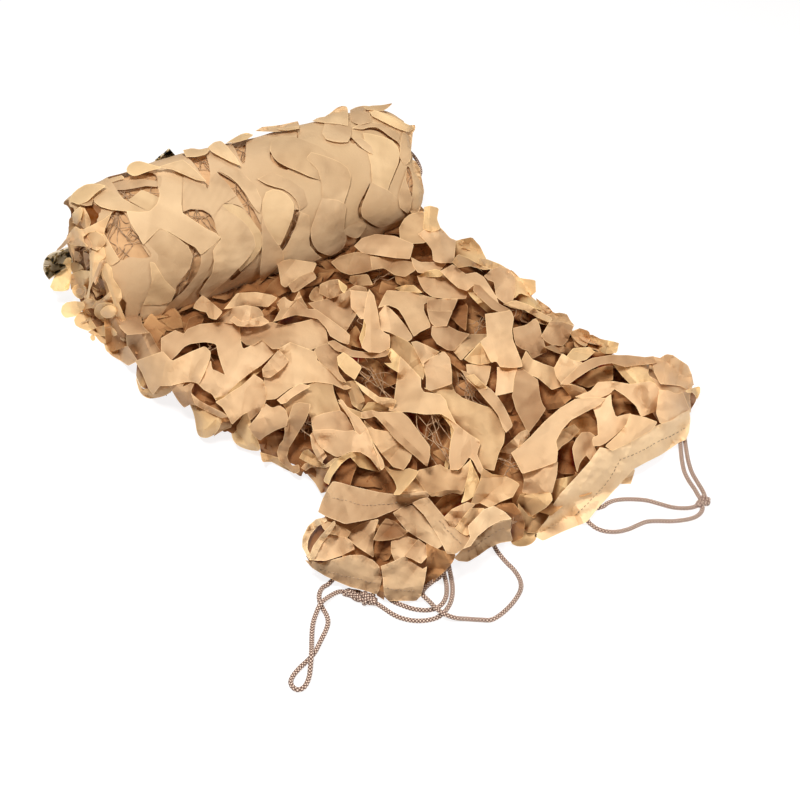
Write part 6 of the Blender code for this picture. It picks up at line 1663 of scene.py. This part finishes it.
# ------------------------------------------------------- the cords' weave
def braid_material():
    """A cord braided from light and dark strands that cross in a herringbone.
    U runs along the cord in millimetres, V once round it."""
    mat = bpy.data.materials.new("braided_cord_weave")
    mat.use_nodes = True
    nt = mat.node_tree
    pr = nt.nodes["Principled BSDF"]
    coord = nt.nodes.new("ShaderNodeUVMap")
    coord.uv_map = "cloth"
    waves = []
    for lean in (1.0, -1.0):
        mp = nt.nodes.new("ShaderNodeMapping")
        mp.inputs["Rotation"].default_value = (0.0, 0.0, math.radians(38.0 * lean))
        mp.inputs["Scale"].default_value = (1.0, 14.0, 1.0)
        nt.links.new(coord.outputs["UV"], mp.inputs["Vector"])
        w = nt.nodes.new("ShaderNodeTexWave")
        w.bands_direction = "X"
        w.inputs["Scale"].default_value = 0.150
        w.inputs["Distortion"].default_value = 0.35
        w.inputs["Detail"].default_value = 1.0
        nt.links.new(mp.outputs["Vector"], w.inputs["Vector"])
        waves.append(w)
    top = nt.nodes.new("ShaderNodeMath")
    top.operation = "MAXIMUM"
    nt.links.new(waves[0].outputs["Fac"], top.inputs[0])
    nt.links.new(waves[1].outputs["Fac"], top.inputs[1])
    both = nt.nodes.new("ShaderNodeMath")
    both.operation = "MULTIPLY"
    nt.links.new(waves[0].outputs["Fac"], both.inputs[0])
    nt.links.new(waves[1].outputs["Fac"], both.inputs[1])
    ramp = nt.nodes.new("ShaderNodeValToRGB")
    els = ramp.color_ramp.elements
    els[0].position, els[0].color = 0.14, (0.13, 0.062, 0.042, 1.0)
    els[1].position, els[1].color = 0.58, (0.90, 0.72, 0.58, 1.0)
    mid = els.new(0.31)
    mid.color = (0.44, 0.27, 0.19, 1.0)
    nt.links.new(both.outputs["Value"], ramp.inputs["Fac"])
    nt.links.new(ramp.outputs["Color"], pr.inputs["Base Color"])
    pr.inputs["Roughness"].default_value = 0.62
    pr.inputs["Sheen Weight"].default_value = 0.2
    bump = nt.nodes.new("ShaderNodeBump")
    bump.inputs["Strength"].default_value = 0.7
    bump.inputs["Distance"].default_value = 0.0006
    nt.links.new(top.outputs["Value"], bump.inputs["Height"])
    nt.links.new(bump.outputs["Normal"], pr.inputs["Normal"])
    return mat


BRAID = braid_material()


def tube(name, path, radius, mat, sides=12, rough=0.0, taper=False, uv_len=1000.0, seed=3):
    path = np.asarray(path, float)
    n = len(path)
    tang = np.gradient(path, axis=0)
    tang /= np.linalg.norm(tang, axis=1)[:, None]
    side = np.cross(tang[0], [0.0, 0.0, 1.0])
    if np.linalg.norm(side) < 1e-3:
        side = np.array([1.0, 0.0, 0.0])
    side = unit(side)
    run = np.concatenate([[0.0], np.cumsum(np.linalg.norm(np.diff(path, axis=0), axis=1))]) * uv_len
    verts, uv, faces = [], [], []
    for i in range(n):
        side = unit(side - tang[i] * (side @ tang[i]))
        up = np.cross(side, tang[i])
        r = radius
        if taper:
            r = radius * (0.35 + 0.65 * min(1.0, min(i, n - 1 - i) / 3.0))
        for k in range(sides + 1):
            a = 2 * math.pi * k / sides
            rr = r * (1.0 + rough * math.cos(2 * math.pi * run[i] / 2.6 + 2 * a)
                      * math.cos(2 * math.pi * run[i] / 2.6 - 2 * a))
            verts.append(path[i] + rr * (math.cos(a) * side + math.sin(a) * up))
            uv.append((run[i], k / sides))
    m = sides + 1
    for i in range(n - 1):
        for k in range(sides):
            a = i * m + k
            faces.append((a, a + 1, a + m + 1, a + m))
    for end, flip in ((0, False), (n - 1, True)):
        base = len(verts)
        verts.append(path[end])
        uv.append((run[end], 0.5))
        for k in range(sides):
            a, b = end * m + k, end * m + k + 1
            faces.append((base, a, b) if flip else (base, b, a))
    v = np.array(verts) - ORIGIN
    return mesh_object(name, v, faces, mat, np.array(uv), None, 60.0)


CORDS = {}
for _name, _route in CORD_ROUTES.items():
    _path = CORD_PATHS[_name]
    _obj = tube(_name + "_braid", _path, R * 0.96, BRAID, sides=14, rough=0.07)
    _len = float(np.linalg.norm(np.diff(_path, axis=0), axis=1).sum())
    CORDS[_name] = (_obj, _path, _len)


def wrapped_knot(name, centre, heading, length, width, strands, twist):
    """The cord drawn tight on itself: strands side by side that twist a
    little, turn back at the ends and take one turn round the rest."""
    turn = math.radians(heading)
    ax = np.array([math.cos(turn), math.sin(turn), 0.0])
    sd = np.array([-math.sin(turn), math.cos(turn), 0.0])
    up = np.array([0.0, 0.0, 1.0])
    mid = np.array([centre[0], centre[1], 0.0])
    half, r = 0.5 * length, 0.5 * width - R
    pts = []
    for k in range(strands):
        run = np.linspace(-1.0, 1.0, 6)
        for t in (run if k % 2 == 0 else run[::-1]):
            a = 2 * math.pi * (k / strands + twist * 0.5 * t) + 0.9
            swell = 1.0 - 0.45 * t * t
            reach = half * (0.92 - 0.16 * (k % 3))
            pts.append(mid + ax * (t * reach) + sd * (r * swell * math.cos(a)) + up * (R + 0.75 * r + 0.75 * r * swell * math.sin(a)))
    for k in range(11):
        a = 2 * math.pi * k / 9.0 + 0.4
        pts.append(mid + ax * (half * (0.55 - 0.04 * k)) + sd * ((r + 0.55 * R) * math.cos(a)) + up * (R + 0.75 * r + (0.75 * r + 0.45 * R) * math.sin(a)))
    path = curve_points(pts, 0.0008)
    path[:, 2] = np.maximum(path[:, 2], 0.95 * R)
    return tube(name + "_wraps", path, R * 0.95, BRAID, sides=12, rough=0.07)


KNOTS = {
    "knot_left": wrapped_knot("knot_left", (-0.1630, -0.1925), -58.0, 0.0300, 0.0105, 4, 0.55),
    "knot_right": wrapped_knot("knot_right", (0.1418, -0.2618), 10.0, 0.0150, 0.0092, 3, 0.6),
}


# ------------------------------------------------------------- tie strap
def strap_material():
    """Printed webbing: an ordinary scatter of soft blotches on a dark ground."""
    mat = bpy.data.materials.new("blotch_print")
    mat.use_nodes = True
    nt = mat.node_tree
    pr = nt.nodes["Principled BSDF"]
    coord = nt.nodes.new("ShaderNodeTexCoord")
    warp = nt.nodes.new("ShaderNodeTexNoise")
    warp.inputs["Scale"].default_value = 150.0
    warp.inputs["Detail"].default_value = 2.0
    nt.links.new(coord.outputs["Object"], warp.inputs["Vector"])
    ramp = nt.nodes.new("ShaderNodeValToRGB")
    ramp.color_ramp.interpolation = "EASE"
    els = ramp.color_ramp.elements
    els[0].position, els[0].color = 0.35, (0.028, 0.024, 0.018, 1.0)
    els[1].position, els[1].color = 0.54, (0.80, 0.70, 0.52, 1.0)
    for pos, col in ((0.41, (0.10, 0.08, 0.035, 1.0)), (0.47, (0.44, 0.29, 0.10, 1.0))):
        el = els.new(pos)
        el.color = col
    nt.links.new(warp.outputs["Fac"], ramp.inputs["Fac"])
    nt.links.new(ramp.outputs["Color"], pr.inputs["Base Color"])
    pr.inputs["Roughness"].default_value = 0.48
    w = nt.nodes.new("ShaderNodeTexWave")
    w.inputs["Scale"].default_value = 260.0
    nt.links.new(coord.outputs["Object"], w.inputs["Vector"])
    bump = nt.nodes.new("ShaderNodeBump")
    bump.inputs["Strength"].default_value = 0.3
    bump.inputs["Distance"].default_value = 0.0003
    nt.links.new(w.outputs["Fac"], bump.inputs["Height"])
    nt.links.new(bump.outputs["Normal"], pr.inputs["Normal"])
    return mat


STRAP_FORM = ((-.2080, 117, .0600, 10), (-.2095, 110, .0660, -25), (-.2045, 107, .0730, -38), (-.1940, 108, .0785, -30), (-.1800, 110, .0800, -12),
              (-.1641, 111, .0800, 0), (-.1382, 107, .0800, 0), (-.1092, 98, .0800, 0), (-.0965, 86, .0800, 0), (-.0893, 74, .0800, 0),
              (-.0812, 61, .0810, 4), (-.0735, 51, .0860, 8), (-.0615, 47, .0900, 16))


def build_strap():
    places, outs = [], []
    for x, rnd, off, tilt in STRAP_FORM:
        a = math.radians(rnd)
        outs.append(np.array([0.0, math.sin(a), math.cos(a)]))
        places.append(np.array([x, ROLL_Y + off * math.sin(a), ROLL_Z + off * math.cos(a)]))
    row = np.hstack([np.array(places), np.array(outs), np.array([[r[3]] for r in STRAP_FORM])])
    row = curve_points(row, 0.0030)
    pl, out, tilt = row[:, :3], row[:, 3:6], row[:, 6]
    tang = np.gradient(pl, axis=0)
    verts, faces, m = [], [], 9
    for i in range(len(pl)):
        t = unit(tang[i])
        o = unit(out[i])
        across = unit(np.cross(t, o))
        normal = unit(o - t * (o @ t))
        g = math.radians(tilt[i])
        wide = across * math.cos(g) + normal * math.sin(g)
        thick = unit(np.cross(t, wide))
        for side in (1.0, -1.0):
            for k in range(m):
                w = (k / (m - 1) * 2 - 1) * side
                verts.append(pl[i] + wide * (w * 0.011) + thick * (side * 0.0007 + 0.0008 * (1 - w * w) + 0.0005 * math.sin(i * 0.7 + 2 * w)))
    mm = 2 * m
    for i in range(len(pl) - 1):
        for k in range(mm):
            a, b = i * mm + k, i * mm + (k + 1) % mm
            faces.append((a, b, b + mm, a + mm))
    for end in (0, len(pl) - 1):
        for k in range(m - 1):
            a, b = end * mm + k, end * mm + k + 1
            c, d = end * mm + mm - 2 - k, end * mm + mm - 1 - k
            faces.append((a, b, c, d) if end else (b, a, d, c))
    return mesh_object("tie_strap_print", np.array(verts) - ORIGIN, faces, strap_material(), None, None, 50.0)


strap = build_strap()

# --------------------------------------------------------- floor and light
floor_mesh = bpy.data.meshes.new("floor")
floor_mesh.from_pydata([(-6, -6, 0), (6, -6, 0), (6, 6, 0), (-6, 6, 0)], [], [(0, 1, 2, 3)])
FLOOR = bpy.data.materials.new("floor_paper")
FLOOR.use_nodes = True
FLOOR.node_tree.nodes["Principled BSDF"].inputs["Base Color"].default_value = (0.24, 0.238, 0.24, 1.0)
FLOOR.node_tree.nodes["Principled BSDF"].inputs["Roughness"].default_value = 0.9
FLOOR.node_tree.nodes["Principled BSDF"].inputs["Specular IOR Level"].default_value = 0.1
FLOOR.node_tree.nodes["Principled BSDF"].inputs["Emission Color"].default_value = (1.0, 0.99, 0.99, 1.0)
FLOOR.node_tree.nodes["Principled BSDF"].inputs["Emission Strength"].default_value = 0.85
floor_mesh.materials.append(FLOOR)
floor = bpy.data.objects.new("floor", floor_mesh)
bpy.context.scene.collection.objects.link(floor)

world = bpy.data.worlds.new("studio")
world.use_nodes = True
world.node_tree.nodes["Background"].inputs["Color"].default_value = (1.0, 0.88, 0.74, 1.0)
world.node_tree.nodes["Background"].inputs["Strength"].default_value = 0.10
bpy.context.scene.world = world


def area_light(name, at, aim, size, power, colour=(1.0, 1.0, 1.0)):
    data = bpy.data.lights.new(name, "AREA")
    data.shape = "SQUARE"
    data.size = size
    data.energy = power
    data.color = colour
    obj = bpy.data.objects.new(name, data)
    obj.location = at
    obj.rotation_euler = (Vector(aim) - Vector(at)).to_track_quat("-Z", "Y").to_euler()
    bpy.context.scene.collection.objects.link(obj)
    return obj


area_light("left_key", (-0.52, -0.42, 1.45), (0.0, 0.0, 0.03), 0.32, 24.0, (1.0, 0.985, 0.97))
area_light("right_fill", (0.60, -0.90, 0.85), (0.08, -0.08, 0.03), 0.45, 6.2, (1.0, 0.985, 0.97))
area_light("back_rim", (0.15, 1.10, 1.20), (0.0, 0.1, 0.05), 0.70, 7.0, (1.0, 0.98, 0.95))
bpy.context.scene.view_settings.view_transform = "Standard"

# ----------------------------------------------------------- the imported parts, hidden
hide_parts("netting")
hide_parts("edge_band")
for _name, (_obj, _path, _len) in CORDS.items():
    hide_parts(_name)
for _name, _obj in KNOTS.items():
    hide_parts(_name)
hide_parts("tie_strap")
